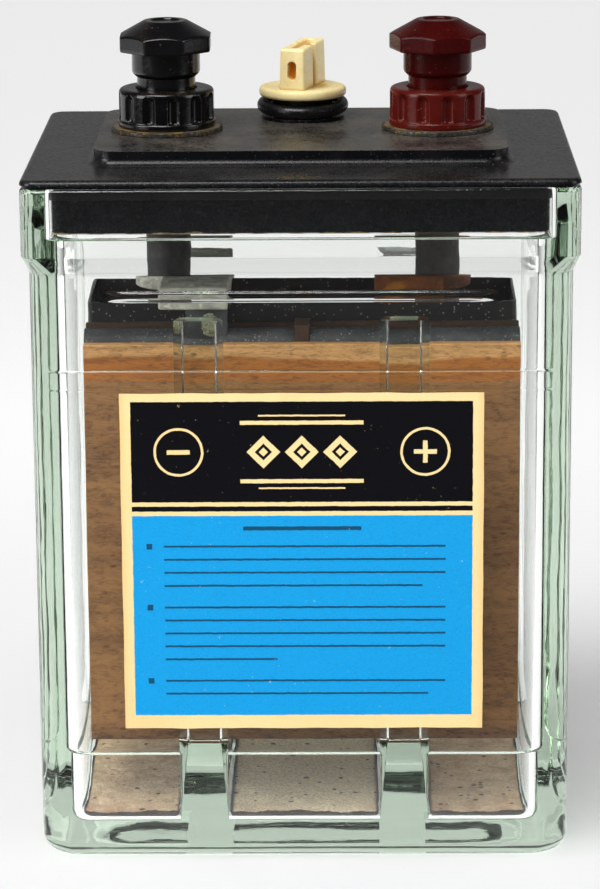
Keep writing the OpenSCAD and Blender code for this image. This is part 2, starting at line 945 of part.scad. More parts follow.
// Upright grip with an oval slot in each end and a shallow groove along its top
module finger_grip() {
    slot_wide = 2;
    slot_tall = 4.4;
    slot_deep = 2.4;
    slot_mid = grip_h / 2;
    groove_w = 1.8;
    groove_deep = 0.6;
    groove_end = 2;
    difference() {
        linear_extrude(grip_h)
            grip_outline();
        for (s = [-1, 1])
            translate([0, s * (grip_len / 2 - slot_deep / 2 + eps / 2), slot_mid])
                along_y(slot_deep + eps)
                    union() {
                        square([slot_wide, slot_tall - slot_wide], center = true);
                        for (t = [-1, 1])
                            translate([0, t * (slot_tall - slot_wide) / 2])
                                circle(d = slot_wide);
                    }
        translate([0, 0, grip_h - groove_deep])
            linear_extrude(groove_deep + eps)
                rounded_rect(groove_w, grip_len - 2 * groove_end, groove_w / 2 - seat);
    }
}

module vent_plug() {
    edge = 0.9;
    stem_z = vent_seat_z - vent_stem_len;
    color("wheat")
        translate([0, vent_y, 0])
            difference() {
                union() {
                    translate([0, 0, disc_z])
                        rotate_extrude()
                            union() {
                                square([vent_disc_d / 2 - edge, vent_disc_t]);
                                translate([0, edge])
                                    square([vent_disc_d / 2, vent_disc_t - 2 * edge]);
                                for (z = [edge, vent_disc_t - edge])
                                    translate([vent_disc_d / 2 - edge, z])
                                        circle(edge);
                            }
                    translate([0, 0, stem_z])
                        cylinder(h = disc_z - stem_z + eps, d = vent_stem_d);
                    translate([0, 0, disc_top - seat])
                        rotate([0, 0, grip_turn])
                            finger_grip();
                }
                translate([0, 0, stem_z - eps])
                    cylinder(h = disc_z - stem_z + eps, d = vent_stem_d - 2 * vent_stem_wall);
                rotate([0, 0, grip_turn])
                    translate([-gas_hole_x, 0, disc_z - eps])
                        cylinder(h = vent_disc_t + 2 * eps, d = gas_hole_d);
            }
}

module vent_plug_ring() {
    color([0.16, 0.16, 0.17])
        translate([0, vent_y, ring_z])
            rotate([ring_tilt, 0, 0])
                rotate_extrude()
                    translate([ring_d / 2, 0])
                        circle(d = ring_t);
}

glass_jar();
front_label();
lid();
sealing_compound();
sediment_bed();
front_guard_board();
rear_guard_board();
front_negative_plate();
rear_negative_plate();
front_spacer_strip();
rear_spacer_strip();
front_wood_separator();
rear_wood_separator();
ebonite_envelope();
positive_plate();
negative_strap();
positive_strap();
negative_post();
positive_post();
negative_stud();
positive_stud();
negative_bush();
positive_bush();
negative_washer();
positive_washer();
negative_lock_nut();
positive_lock_nut();
negative_nut_insert();
positive_nut_insert();
negative_knob();
positive_knob();
negative_knob_insert();
positive_knob_insert();
vent_plug();
vent_plug_ring();
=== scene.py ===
"""The looks of a two-volt glass accumulator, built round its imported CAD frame.

Shapes are worked out in millimetres, with the front towards -Y and the origin at the middle of
the base, and turned into metres when their meshes are made.
"""

import logging
import math
from collections.abc import Callable
from dataclasses import dataclass
from enum import Enum

import bmesh
import bpy
import numpy as np
from bpy.types import Material, Mesh, Node, NodeSocket as Socket, NodeTree, Object
from mathutils import Matrix, Vector


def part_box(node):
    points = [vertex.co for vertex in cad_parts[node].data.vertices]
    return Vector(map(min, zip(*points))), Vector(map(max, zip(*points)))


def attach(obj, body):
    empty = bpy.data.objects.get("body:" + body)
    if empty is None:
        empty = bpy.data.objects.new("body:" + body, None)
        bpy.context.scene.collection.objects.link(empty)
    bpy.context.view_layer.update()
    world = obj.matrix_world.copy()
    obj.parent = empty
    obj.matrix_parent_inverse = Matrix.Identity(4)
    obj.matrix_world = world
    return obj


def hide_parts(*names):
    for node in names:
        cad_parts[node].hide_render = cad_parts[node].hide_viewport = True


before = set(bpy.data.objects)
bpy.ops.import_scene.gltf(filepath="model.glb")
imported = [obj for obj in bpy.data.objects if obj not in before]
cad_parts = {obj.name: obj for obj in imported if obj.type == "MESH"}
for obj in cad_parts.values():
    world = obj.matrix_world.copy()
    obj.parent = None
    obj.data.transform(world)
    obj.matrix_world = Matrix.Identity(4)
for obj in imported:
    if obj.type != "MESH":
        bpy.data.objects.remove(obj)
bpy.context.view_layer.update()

MM = 0.001
log = logging.getLogger("accumulator")
join = np.concatenate

Array = np.ndarray
Sheet = tuple[Array, Array]
MarkedSheet = tuple[Array, Array, float, dict[str, Array]]
Value = Socket | float
Colour = tuple[float, float, float, float]
Paint = Socket | Colour


class Pole(Enum):
    """The two terminals, named as a maker names them."""

    NEGATIVE = "negative"
    POSITIVE = "positive"


def paint(red: int, green: int, blue: int) -> Colour:
    """Turn a colour given as it looks on a screen into the linear colour of a shader.

    Args:
        red: Red, 0 to 255.
        green: Green, 0 to 255.
        blue: Blue, 0 to 255.

    Returns:
        The linear colour with an alpha of one.
    """
    screen = np.array([red, green, blue]) / 255
    linear = np.where(screen <= 0.04045, screen / 12.92, ((screen + 0.055) / 1.055) ** 2.4)
    return (float(linear[0]), float(linear[1]), float(linear[2]), 1.0)


def smooth_step(value: Array, low: float, high: float) -> Array:
    """Rise from 0 at low to 1 at high with level ends: 3t squared less 2t cubed.

    Args:
        value: Where to work it out.
        low: Start of the rise.
        high: End of the rise.

    Returns:
        The height of the rise, 0 to 1.
    """
    t = np.clip((value - low) / (high - low), 0, 1)
    return t * t * (3 - 2 * t)


def wander(seed: int, *phases: Array, octaves: int = 4) -> Array:
    """Slow unevenness: a sum of sines of the phases, each octave finer and weaker than the last.

    Args:
        seed: Start of the random draws for directions and offsets.
        phases: Arrays of one shape, in radians of the slowest wave.
        octaves: How many waves are summed.

    Returns:
        Values between about -1 and 1, in the shape of the phases.
    """
    draw = np.random.default_rng(seed)
    total = np.zeros_like(phases[0])
    for octave in range(octaves):
        turn = draw.uniform(-1, 1, len(phases)) * 1.9 ** octave
        phase = sum(t * p for t, p in zip(turn, phases)) + draw.uniform(0, 6.28)
        total = total + np.sin(phase) / 1.5 ** octave
    return total / 2.2


def strip_faces(first: Array, second: Array, closed: bool) -> Array:
    """Quads between two rows of vertex numbers of one length.

    Args:
        first: Vertex numbers of one row, or a stack of rows.
        second: Vertex numbers of the next row, or a stack of rows.
        closed: Whether the rows run round and meet themselves.

    Returns:
        An array of quads.
    """
    if closed:
        first = join([first, first[..., :1]], axis=-1)
        second = join([second, second[..., :1]], axis=-1)
    quads = np.stack([first[..., :-1], first[..., 1:], second[..., 1:], second[..., :-1]], axis=-1)
    return quads.reshape(-1, 4)


def grid_faces(rows: int, columns: int, closed: bool = False, start: int = 0) -> Array:
    """Quads of a grid whose vertices are numbered row by row.

    Args:
        rows: Number of rows.
        columns: Number of vertices in a row.
        closed: Whether each row meets itself.
        start: Number of the first vertex.

    Returns:
        An array of quads.
    """
    numbers = start + np.arange(rows * columns).reshape(rows, columns)
    return strip_faces(numbers[:-1], numbers[1:], closed)


def make_piece(name: str, points: Array, quads: Array, sharp: float = 35.0,
               marks: dict[str, Array] | None = None) -> Object:
    """Make an object from points in millimetres and quads, closed at its poles and facing outward.

    Args:
        name: Name of the piece.
        points: Array of points, one row each, in millimetres.
        quads: Array of quads as vertex numbers.
        sharp: Angle in degrees above which an edge stays sharp.
        marks: Values from 0 to 1 at each point, by the name that the piece's finish reads.

    Returns:
        The linked object, at the origin.
    """
    mesh = bpy.data.meshes.new(name)
    mesh.vertices.add(len(points))
    mesh.vertices.foreach_set("co", (points * MM).astype(np.float32).ravel())
    mesh.loops.add(quads.size)
    mesh.loops.foreach_set("vertex_index", quads.astype(np.int32).ravel())
    mesh.polygons.add(len(quads))
    mesh.polygons.foreach_set("loop_start", np.arange(0, quads.size, 4, dtype=np.int32))
    mesh.update(calc_edges=True)
    for key, values in (marks or {}).items():
        mark = mesh.attributes.new(key, "FLOAT", "POINT")
        mark.data.foreach_set("value", values.astype(np.float32).ravel())
    clean_mesh(mesh)
    return finish_piece(name, mesh, sharp)


def clean_mesh(mesh: Mesh) -> None:
    """Merge doubled points, drop faces without area and turn all faces outward.

    Args:
        mesh: The closed mesh to clean.
    """
    work = bmesh.new()
    work.from_mesh(mesh)
    bmesh.ops.remove_doubles(work, verts=work.verts, dist=2e-6)
    bmesh.ops.dissolve_degenerate(work, edges=work.edges, dist=1e-7)
    bmesh.ops.recalc_face_normals(work, faces=work.faces)
    work.to_mesh(mesh)
    work.free()


def finish_piece(name: str, mesh: Mesh, sharp: float) -> Object:
    """Link a mesh as an object and shade it smooth except at its sharp edges.

    Args:
        name: Name of the piece.
        mesh: Its mesh.
        sharp: Angle in degrees above which an edge stays sharp.

    Returns:
        The linked object.
    """
    piece = bpy.data.objects.new(name, mesh)
    bpy.context.scene.collection.objects.link(piece)
    mesh.polygons.foreach_set("use_smooth", np.ones(len(mesh.polygons), dtype=bool))
    mesh.set_sharp_from_angle(angle=math.radians(sharp))
    return piece


def softened(node: str, name: str, bevel: float, sharp: float = 32.0,
             share: Callable[[Array], Array] | None = None) -> Object:
    """Take a merged copy of a CAD node and round its edges.

    Args:
        node: The CAD node.
        name: Name of the new piece.
        bevel: Width of the rounding, in millimetres.
        sharp: Angle in degrees above which an edge is rounded.
        share: Share of the rounding at each edge, from the edges' middles in millimetres.

    Returns:
        The new piece, which stands for the node.
    """
    work = bmesh.new()
    work.from_mesh(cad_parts[node].data)
    bmesh.ops.remove_doubles(work, verts=work.verts, dist=2e-6)
    bmesh.ops.dissolve_limit(work, angle_limit=math.radians(0.4), verts=work.verts, edges=work.edges)
    work.edges.index_update()
    turned = np.array([edge.calc_face_angle(0.0) for edge in work.edges]) > math.radians(sharp)
    mesh = bpy.data.meshes.new(name)
    work.to_mesh(mesh)
    work.free()
    piece = finish_piece(name, mesh, sharp)
    ends = np.empty(2 * len(mesh.edges), dtype=np.int32)
    mesh.edges.foreach_get("vertices", ends)
    places = np.empty(3 * len(mesh.vertices), dtype=np.float32)
    mesh.vertices.foreach_get("co", places)
    middles = places.reshape(-1, 3)[ends].reshape(-1, 2, 3).mean(axis=1) / MM
    weights = turned * (share(middles) if share else 1.0)
    kept = mesh.attributes.new("bevel_weight_edge", "FLOAT", "EDGE")
    kept.data.foreach_set("value", weights.astype(np.float32))
    rounding = piece.modifiers.new("rounding", "BEVEL")
    rounding.width = bevel * MM
    rounding.segments = 3
    rounding.limit_method = "WEIGHT"
    rounding.harden_normals = True
    rounding.use_clamp_overlap = True
    weighted = piece.modifiers.new("weighted", "WEIGHTED_NORMAL")
    weighted.keep_sharp = True
    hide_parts(node)
    return piece


def box_mm(node: str) -> Sheet:
    """Lowest and highest corner of a CAD node, in millimetres."""
    low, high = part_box(node)
    return np.array(low) / MM, np.array(high) / MM


def rounded_path(corners: list[tuple[float, float, float]], steps: int = 6) -> Array:
    """An open path of straight lines whose corners are turned by arcs.

    Each corner's arc is a quadratic curve that starts and ends the given distance from the corner.

    Args:
        corners: Each corner's two coordinates and its rounding, in millimetres.
        steps: Points on each arc, less one.

    Returns:
        The points of the path.
    """
    places = np.array([c[:2] for c in corners], dtype=float)
    path = [places[:1]]
    t = np.linspace(0, 1, steps + 1)[:, None]
    for i in range(1, len(places) - 1):
        before = places[i - 1] - places[i]
        after = places[i + 1] - places[i]
        reach = min(corners[i][2], np.linalg.norm(before) / 2, np.linalg.norm(after) / 2)
        if reach <= 0:
            path.append(places[i:i + 1])
            continue
        start = places[i] + before / np.linalg.norm(before) * reach
        end = places[i] + after / np.linalg.norm(after) * reach
        path.append((1 - t) ** 2 * start + 2 * t * (1 - t) * places[i] + t ** 2 * end)
    path.append(places[-1:])
    return join(path)


def evened(path: Array, count: int) -> Array:
    """Points at equal steps along a path that ends where it starts.

    Args:
        path: The points of the path.
        count: How many points are wanted.

    Returns:
        The new points, without the repeated last one.
    """
    lengths = np.linalg.norm(np.diff(path, axis=0), axis=1)
    along = join([[0.0], np.cumsum(lengths)])
    at = np.linspace(0, along[-1], count + 1)[:-1]
    return np.stack([np.interp(at, along, path[:, 0]), np.interp(at, along, path[:, 1])], axis=-1)


def box_outline(left: float, right: float, half_depth: float, radii: list[float], count: int) -> Array:
    """A round-cornered box seen from above, at equal steps from the middle of its front.

    Args:
        left: Its left side.
        right: Its right side.
        half_depth: Half its depth.
        radii: Rounding of its corners on the left and on the right.
        count: How many points are wanted.

    Returns:
        The points.
    """
    middle = (left + right) / 2
    corners = [(middle, -half_depth, 0), (right, -half_depth, radii[1]), (right, half_depth, radii[1]),
               (left, half_depth, radii[0]), (left, -half_depth, radii[0]), (middle, -half_depth, 0)]
    return evened(rounded_path(corners, 8), count)


def outward(path: Array) -> Array:
    """Unit directions across a closed path, from the points before and after each point."""
    ahead = np.roll(path, -1, axis=0) - np.roll(path, 1, axis=0)
    normal = np.stack([ahead[:, 1], -ahead[:, 0]], axis=-1)
    return normal / np.linalg.norm(normal, axis=1, keepdims=True)


def soft_least(a: Array, b: Array, soft: float) -> Array:
    """The smaller of two values, with the change between them rounded off."""
    return 0.5 * (a + b - np.sqrt((a - b) ** 2 + soft ** 2))


def lathe(profile: Array, centre: tuple[float, float], segments: int = 144) -> Sheet:
    """Turn a profile of radius and height round an upright axis.

    Args:
        profile: Points of radius and height, from one end of the axis to the other.
        centre: Where the axis stands.
        segments: Points round the axis.

    Returns:
        The points and the quads.
    """
    angle = np.linspace(0, 2 * np.pi, segments, endpoint=False)
    radius = profile[:, :1] * np.ones_like(angle)
    return ring_stack(radius, profile[:, 1:], angle, centre)


def ring_stack(radius: Array, height: Array, angle: Array, centre: tuple[float, float]) -> Sheet:
    """Rings round an upright axis whose radius may change with the angle.

    Args:
        radius: Radius for each ring and angle.
        height: Height for each ring, as a column.
        angle: Angles round the axis.
        centre: Where the axis stands.

    Returns:
        The points and the quads.
    """
    x = centre[0] + radius * np.cos(angle)
    y = centre[1] + radius * np.sin(angle)
    z = height * np.ones_like(radius)
    points = np.stack([x, y, z], axis=-1).reshape(-1, 3)
    return points, grid_faces(*radius.shape, closed=True)


class Graph:
    """Adds and links the nodes of one node tree."""

    def __init__(self, tree: NodeTree) -> None:
        """Keep the tree that the nodes go into."""
        self.tree = tree

    def add(self, kind: str, inputs: dict | None = None, **options: object) -> Node:
        """Add a node.

        Args:
            kind: Blender's name of the node type.
            inputs: Values or sockets by input name or number.
            options: Settings of the node itself.

        Returns:
            The new node.
        """
        node = self.tree.nodes.new(kind)
        for key, value in options.items():
            setattr(node, key, value)
        for key, value in (inputs or {}).items():
            if isinstance(value, Socket):
                self.tree.links.new(value, node.inputs[key])
            else:
                node.inputs[key].default_value = value
        return node

    def math(self, operation: str, a: Value, b: Value = 0.0, clamp: bool = False) -> Socket:
        """Combine two values with a Math node."""
        return self.add("ShaderNodeMath", {0: a, 1: b}, operation=operation, use_clamp=clamp).outputs[0]

    def times(self, a: Value, b: Value, clamp: bool = False) -> Socket:
        """Multiply two values."""
        return self.math("MULTIPLY", a, b, clamp)

    def plus(self, a: Value, b: Value, clamp: bool = False) -> Socket:
        """Add two values."""
        return self.math("ADD", a, b, clamp)

    def minus(self, a: Value, b: Value, clamp: bool = False) -> Socket:
        """Take the second value from the first."""
        return self.math("SUBTRACT", a, b, clamp)

    def larger(self, a: Value, b: Value) -> Socket:
        """The larger of two values."""
        return self.math("MAXIMUM", a, b)

    def off(self, a: Value, b: Value) -> Socket:
        """How far two values lie apart."""
        return self.math("ABSOLUTE", self.minus(a, b))

    def mix(self, factor: Value, a: Paint, b: Paint) -> Socket:
        """Blend two colours by a factor."""
        return self.add("ShaderNodeMix", {0: factor, 6: a, 7: b}, data_type="RGBA").outputs[2]

    def coats(self, colour: Paint, *layers: tuple[Value, Paint]) -> Socket:
        """Lay further colours over a first one, each by its own factor."""
        for factor, tone in layers:
            colour = self.mix(factor, colour, tone)
        return colour

    def mark(self, name: str) -> Socket:
        """A value that the mesh keeps at its points, zero where it keeps none of that name."""
        return self.add("ShaderNodeAttribute", attribute_name=name).outputs["Fac"]

    def axis(self, vector: Socket, letter: str) -> Socket:
        """One axis of a vector."""
        return self.add("ShaderNodeSeparateXYZ", {0: vector}).outputs[letter]

    def spread(self, value: Value, low: float, high: float, to_low: float = 0.0,
               to_high: float = 1.0) -> Socket:
        """Map a value from one range to another with smooth ends."""
        inputs = {"Value": value, "From Min": low, "From Max": high, "To Min": to_low, "To Max": to_high}
        node = self.add("ShaderNodeMapRange", inputs, interpolation_type="SMOOTHSTEP")
        return node.outputs[0]

    def noise(self, vector: Socket, scale: float, detail: float = 4.0, rough: float = 0.55,
              distortion: float = 0.0) -> Socket:
        """A noise value of about 0.5 at the given scale per metre."""
        inputs = {"Vector": vector, "Scale": scale, "Detail": detail, "Roughness": rough,
                  "Distortion": distortion}
        return self.add("ShaderNodeTexNoise", inputs).outputs[0]

    def place(self) -> Socket:
        """Object coordinates."""
        return self.add("ShaderNodeTexCoord").outputs["Object"]

    def stretch(self, vector: Socket, scale: tuple[float, float, float],
                turn: tuple[float, float, float] = (0, 0, 0)) -> Socket:
        """Scale and turn a pattern's coordinates."""
        node = self.add("ShaderNodeMapping", {"Vector": vector, "Scale": scale, "Rotation": turn})
        return node.outputs[0]

    def band(self, value: Value, low: float, high: float, soft: float = 0.07) -> Socket:
        """One inside a band, with soft edges."""
        return self.times(self.spread(value, low - soft, low + soft),
                          self.spread(value, high - soft, high + soft, 1.0, 0.0))

    def bump(self, height: Value, distance: float, strength: float = 1.0,
             normal: Socket | None = None) -> Socket:
        """A normal from a height, whose full range stands for the given distance in millimetres."""
        inputs = {"Height": height, "Distance": distance * MM, "Strength": strength}
        if normal is not None:
            inputs["Normal"] = normal
        return self.add("ShaderNodeBump", inputs).outputs[0]

    def grey(self, tone: float) -> Socket:
        """A plain grey diffuse shader."""
        return self.add("ShaderNodeBsdfDiffuse", {"Color": (tone, tone, tone, 1.0)}).outputs[0]

    def blend(self, factor: Value, a: Socket, b: Socket) -> Socket:
        """Blend two shaders by a factor."""
        return self.add("ShaderNodeMixShader", {0: factor, 1: a, 2: b}).outputs[0]

    def link(self, socket: Socket, end: Node, name: str = "Surface") -> None:
        """Link a socket to an input of the output node."""
        self.tree.links.new(socket, end.inputs[name])

    def group(self, tree: NodeTree, **inputs: Value) -> dict[str, Socket]:
        """Place a node group with the given input values, and give back its outputs by name."""
        return dict(self.add("ShaderNodeGroup", inputs, node_tree=tree).outputs)

    def principled(self, colour: Paint, rough: Value, normal: Socket, **more: Value) -> Socket:
        """A Principled shader; further inputs are named with _ for a space."""
        inputs = {"Base Color": colour, "Roughness": rough, "Normal": normal}
        inputs.update({key.replace("_", " "): value for key, value in more.items()})
        return self.add("ShaderNodeBsdfPrincipled", inputs).outputs[0]


class Effects:
    """Node groups that several finishes share, each built once."""

    def __init__(self) -> None:
        """Build the groups."""
        self.dust = self.build_dust()
        self.specks = self.build_specks()
        self.blotches = self.build_blotches()

    @staticmethod
    def start(name: str, floats: dict[str, float], outputs: list[str]) -> tuple[Graph, dict[str, Socket]]:
        """Open a new group with a Vector input, float inputs and float outputs.

        Args:
            name: Name of the group.
            floats: Default values of the float inputs by name.
            outputs: Names of the float outputs.

        Returns:
            The group's graph and its inputs by name.
        """
        tree = bpy.data.node_groups.new(name, "ShaderNodeTree")
        tree.interface.new_socket("Vector", in_out="INPUT", socket_type="NodeSocketVector")
        for key, value in floats.items():
            socket = tree.interface.new_socket(key, in_out="INPUT", socket_type="NodeSocketFloat")
            socket.default_value = value
        for key in outputs:
            tree.interface.new_socket(key, in_out="OUTPUT", socket_type="NodeSocketFloat")
        return Graph(tree), dict(tree.nodes.new("NodeGroupInput").outputs)

    @staticmethod
    def close(graph: Graph, **outputs: Socket) -> NodeTree:
        """Link the outputs of a group and give back its tree."""
        end = graph.tree.nodes.new("NodeGroupOutput")
        for key, socket in outputs.items():
            graph.link(socket, end, key)
        return graph.tree

    def build_dust(self) -> NodeTree:
        """Dust that settles on faces turned upward, thicker in some places than in others.

        Returns:
            The group, which puts out the mask of the dust.
        """
        graph, given = self.start("settled_dust", {"Scale": 60.0, "Cover": 0.5}, ["Mask"])
        normal = graph.add("ShaderNodeNewGeometry").outputs["Normal"]
        up = graph.axis(normal, "Z")
        facing = graph.spread(up, 0.15, 0.95)
        coarse = graph.noise(given["Vector"], given["Scale"], 7.0, 0.68)
        edge = graph.minus(0.9, graph.times(given["Cover"], 0.8))
        over = graph.minus(coarse, edge)
        cover = graph.plus(graph.times(over, 3.2), 0.5, clamp=True)
        return self.close(graph, Mask=graph.times(cover, facing))

    def build_specks(self) -> NodeTree:
        """Small round specks scattered unevenly over a surface.

        Returns:
            The group, which puts out the mask of the specks.
        """
        graph, given = self.start("specks", {"Scale": 400.0, "Size": 0.2, "Share": 0.4}, ["Mask"])
        cells = graph.add("ShaderNodeTexVoronoi", {"Vector": given["Vector"], "Scale": given["Scale"]})
        chosen = graph.add("ShaderNodeSeparateColor", {0: cells.outputs["Color"]})
        some = graph.math("LESS_THAN", chosen.outputs[0], given["Share"])
        size = graph.times(given["Size"], chosen.outputs[1])
        near = graph.minus(size, cells.outputs["Distance"])
        disc = graph.times(near, 12.0, clamp=True)
        return self.close(graph, Mask=graph.times(disc, some))

    def build_blotches(self) -> NodeTree:
        """Soft-edged blotches: a noise value cut at a level, with the fine noise beside it.

        Returns:
            The group, which puts out the mask of the blotches and the fine noise.
        """
        graph, given = self.start("blotches", {"Scale": 60.0, "Level": 0.5, "Soft": 0.1}, ["Mask", "Fine"])
        coarse = graph.noise(given["Vector"], given["Scale"], 5.0, 0.6, 0.3)
        over = graph.minus(coarse, given["Level"])
        mask = graph.plus(graph.math("DIVIDE", over, given["Soft"]), 0.5, clamp=True)
        finer = graph.times(given["Scale"], 9.0)
        fine = graph.noise(given["Vector"], finer, 3.0, 0.6)
        return self.close(graph, Mask=mask, Fine=fine)


def open_material(name: str) -> tuple[Material, Graph, Node]:
    """Make a material with an empty graph and its output node.

    Args:
        name: Name of the material.

    Returns:
        The material, its graph and its output node.
    """
    material = bpy.data.materials.new(name)
    material.use_nodes = True
    material.node_tree.nodes.clear()
    graph = Graph(material.node_tree)
    return material, graph, graph.add("ShaderNodeOutputMaterial")


class Finish:
    """A finish of the object, whose own class lays the shader."""

    name: str

    def shader(self, graph: Graph, place: Socket, effects: Effects) -> Socket:
        """Lay the shader, which each finish does in its own way."""
        raise NotImplementedError

    def build(self, effects: Effects) -> Material:
        """Make the material.

        Args:
            effects: The shared node groups.

        Returns:
            The material.
        """
        material, graph, end = open_material(self.name)
        shader = self.shader(graph, graph.place(), effects)
        graph.link(shader, end)
        return material


@dataclass(frozen=True)
class PressedGlass:
    """Pale green pressed glass with a slightly wavy skin.

    The absorption colour and density are those of the volume, per metre.
    """

    name: str = "pressed_glass"
    absorbed: Colour = (0.23, 0.46, 0.222, 1.0)
    density: float = 9.0
    index: float = 1.5
    wave: float = 0.05

    def build(self) -> Material:
        """Build the material: clear to shadow rays, with absorption in its volume.

        Returns:
            The material.
        """
        material, graph, end = open_material(self.name)
        place = graph.place()
        slow = graph.noise(place, 38.0, 2.0, 0.4)
        fine = graph.noise(graph.stretch(place, (1.0, 1.0, 0.35)), 240.0, 2.0, 0.5)
        first = graph.bump(slow, self.wave * 14, 0.5)
        second = graph.bump(fine, self.wave, 0.5, first)
        glass = graph.add("ShaderNodeBsdfPrincipled", {
            "Base Color": (1.0, 1.0, 1.0, 1.0), "Roughness": 0.012, "IOR": self.index,
            "Transmission Weight": 1.0, "Normal": second})
        clear = graph.add("ShaderNodeBsdfTransparent", {"Color": (0.94, 0.96, 0.95, 1.0)})
        path = graph.add("ShaderNodeLightPath")
        both = graph.blend(path.outputs["Is Shadow Ray"], glass.outputs[0], clear.outputs[0])
        body = graph.add("ShaderNodeVolumeAbsorption", {"Color": self.absorbed, "Density": self.density})
        graph.link(both, end)
        graph.link(body.outputs[0], end, "Volume")
        return material


@dataclass(frozen=True)
class Moulding(Finish):
    """Moulded black, brown or red plastic or rubber, rubbed and dusty; above a given height the dust veil
    also stands for painted sheen.
    """

    name: str
    tone: Colour
    worn: Colour
    dust: Colour = paint(104, 97, 84)
    cover: float = 0.3
    veil: float = 0.6
    dust_scale: float = 90.0
    gloss: float = 0.3
    dull: float = 0.5
    grain: float = 0.04
    speck: float = 0.1
    speck_scale: float = 1500.0
    speck_tone: float = 0.35
    coat: float = 0.0
    specular: float = 0.4
    # Height in millimetres above which the full dust veil lies; it stands for dust and painted sheen
    # together, and below it the veil thins.
    dust_and_sheen_height: float = 0.0

    def shader(self, graph: Graph, place: Socket, effects: Effects) -> Socket:
        """Lay the shader.

        Args:
            graph: The material's graph.
            place: Object coordinates.
            effects: The shared node groups.

        Returns:
            The shader.
        """
        veil = self.veil
        # Above this height the full veil is dust and painted sheen on the platform's top; below it the veil
        # falls to 0.16 of itself.
        if self.dust_and_sheen_height > 0:
            height = graph.axis(place, "Z")
            veil = graph.spread(height, (self.dust_and_sheen_height - 0.5) * MM, self.dust_and_sheen_height * MM,
                                self.veil * 0.16, self.veil)
        rubbed = graph.group(effects.blotches, Vector=place, Scale=130.0, Level=0.56, Soft=0.25)
        dust = graph.group(effects.dust, Vector=place, Scale=self.dust_scale, Cover=self.cover)
        specks = graph.group(effects.specks, Vector=place, Scale=self.speck_scale, Size=0.42,
                             Share=self.speck)
        base = graph.mix(graph.times(rubbed["Mask"], 0.55), self.tone, self.worn)
        fine = graph.spread(rubbed["Fine"], 0.3, 0.7, 0.35, 1.0)
        dusty = graph.times(graph.times(dust["Mask"], fine), veil)
        speckled = graph.times(specks["Mask"], self.speck_tone)
        cover = graph.larger(dusty, speckled)
        colour = graph.mix(cover, base, self.dust)
        rough = graph.spread(rubbed["Fine"], 0.2, 0.8, self.gloss, self.dull)
        rough = graph.plus(rough, graph.times(cover, 0.35), clamp=True)
        height = graph.plus(rubbed["Fine"], graph.times(cover, 0.8))
        normal = graph.bump(height, self.grain, 0.8)
        return graph.principled(colour, rough, normal, Coat_Weight=self.coat, Coat_Roughness=0.12,
                                Specular_IOR_Level=self.specular)


@dataclass(frozen=True)
class Timber(Finish):
    """Thin board with short fibres along X, stained by acid in level zones.

    The zones are cut at two heights above the base, in millimetres: a pale one above both, a wet
    one between them, and a dull one below.
    """

    name: str
    pale: Colour
    wet: Colour
    dull: Colour
    dark: Colour
    zones: tuple[float, float] = (113.3, 109.0)
    foot: float = 26.0
    fibre: float = 3000.0

    def shader(self, graph: Graph, place: Socket, effects: Effects) -> Socket:
        """Lay the shader.

        Args:
            graph: The material's graph.
            place: Object coordinates.
            effects: The shared node groups.

        Returns:
            The shader.
        """
        height = graph.axis(place, "Z")
        uneven = graph.noise(graph.stretch(place, (0.4, 1.0, 1.0)), 60.0, 3.0, 0.6)
        level = graph.plus(graph.times(height, 1 / MM), graph.spread(uneven, 0.2, 0.8, -0.9, 0.9))
        high, low = self.zones
        colour = graph.mix(graph.spread(level, high - 0.5, high + 0.5), self.wet, self.pale)
        colour = graph.mix(graph.spread(level, low - 1.2, low + 0.6), self.dull, colour)
        bands = graph.noise(graph.stretch(place, (0.05, 1.0, 1.0)), 210.0, 3.0, 0.6, 0.3)
        fibres = graph.noise(graph.stretch(place, (0.16, 1.0, 1.0)), self.fibre, 3.0, 0.7)
        mottle = graph.noise(graph.stretch(place, (0.4, 1.0, 1.0)), 900.0, 4.0, 0.7, 0.5)
        pores = graph.group(effects.specks, Vector=graph.stretch(place, (0.45, 1.0, 1.0)), Scale=1300.0,
                            Size=0.5, Share=0.12)
        darker = graph.times(graph.spread(bands, 0.62, 0.36), 0.30)
        darker = graph.plus(darker, graph.spread(fibres, 0.55, 0.3, 0.0, 0.30))
        darker = graph.plus(darker, graph.spread(mottle, 0.56, 0.34, 0.0, 0.34))
        darker = graph.plus(darker, graph.times(pores["Mask"], 0.3))
        foot = graph.spread(level, self.foot, self.foot + 5.0, 0.5, 0.0)
        darker = graph.plus(darker, foot, clamp=True)
        colour = graph.mix(darker, colour, self.dark)
        relief = graph.plus(graph.plus(fibres, mottle), graph.times(bands, 0.7))
        rough = graph.spread(fibres, 0.3, 0.7, 0.62, 0.85)
        return graph.principled(colour, rough, graph.bump(relief, 0.14, 0.8))


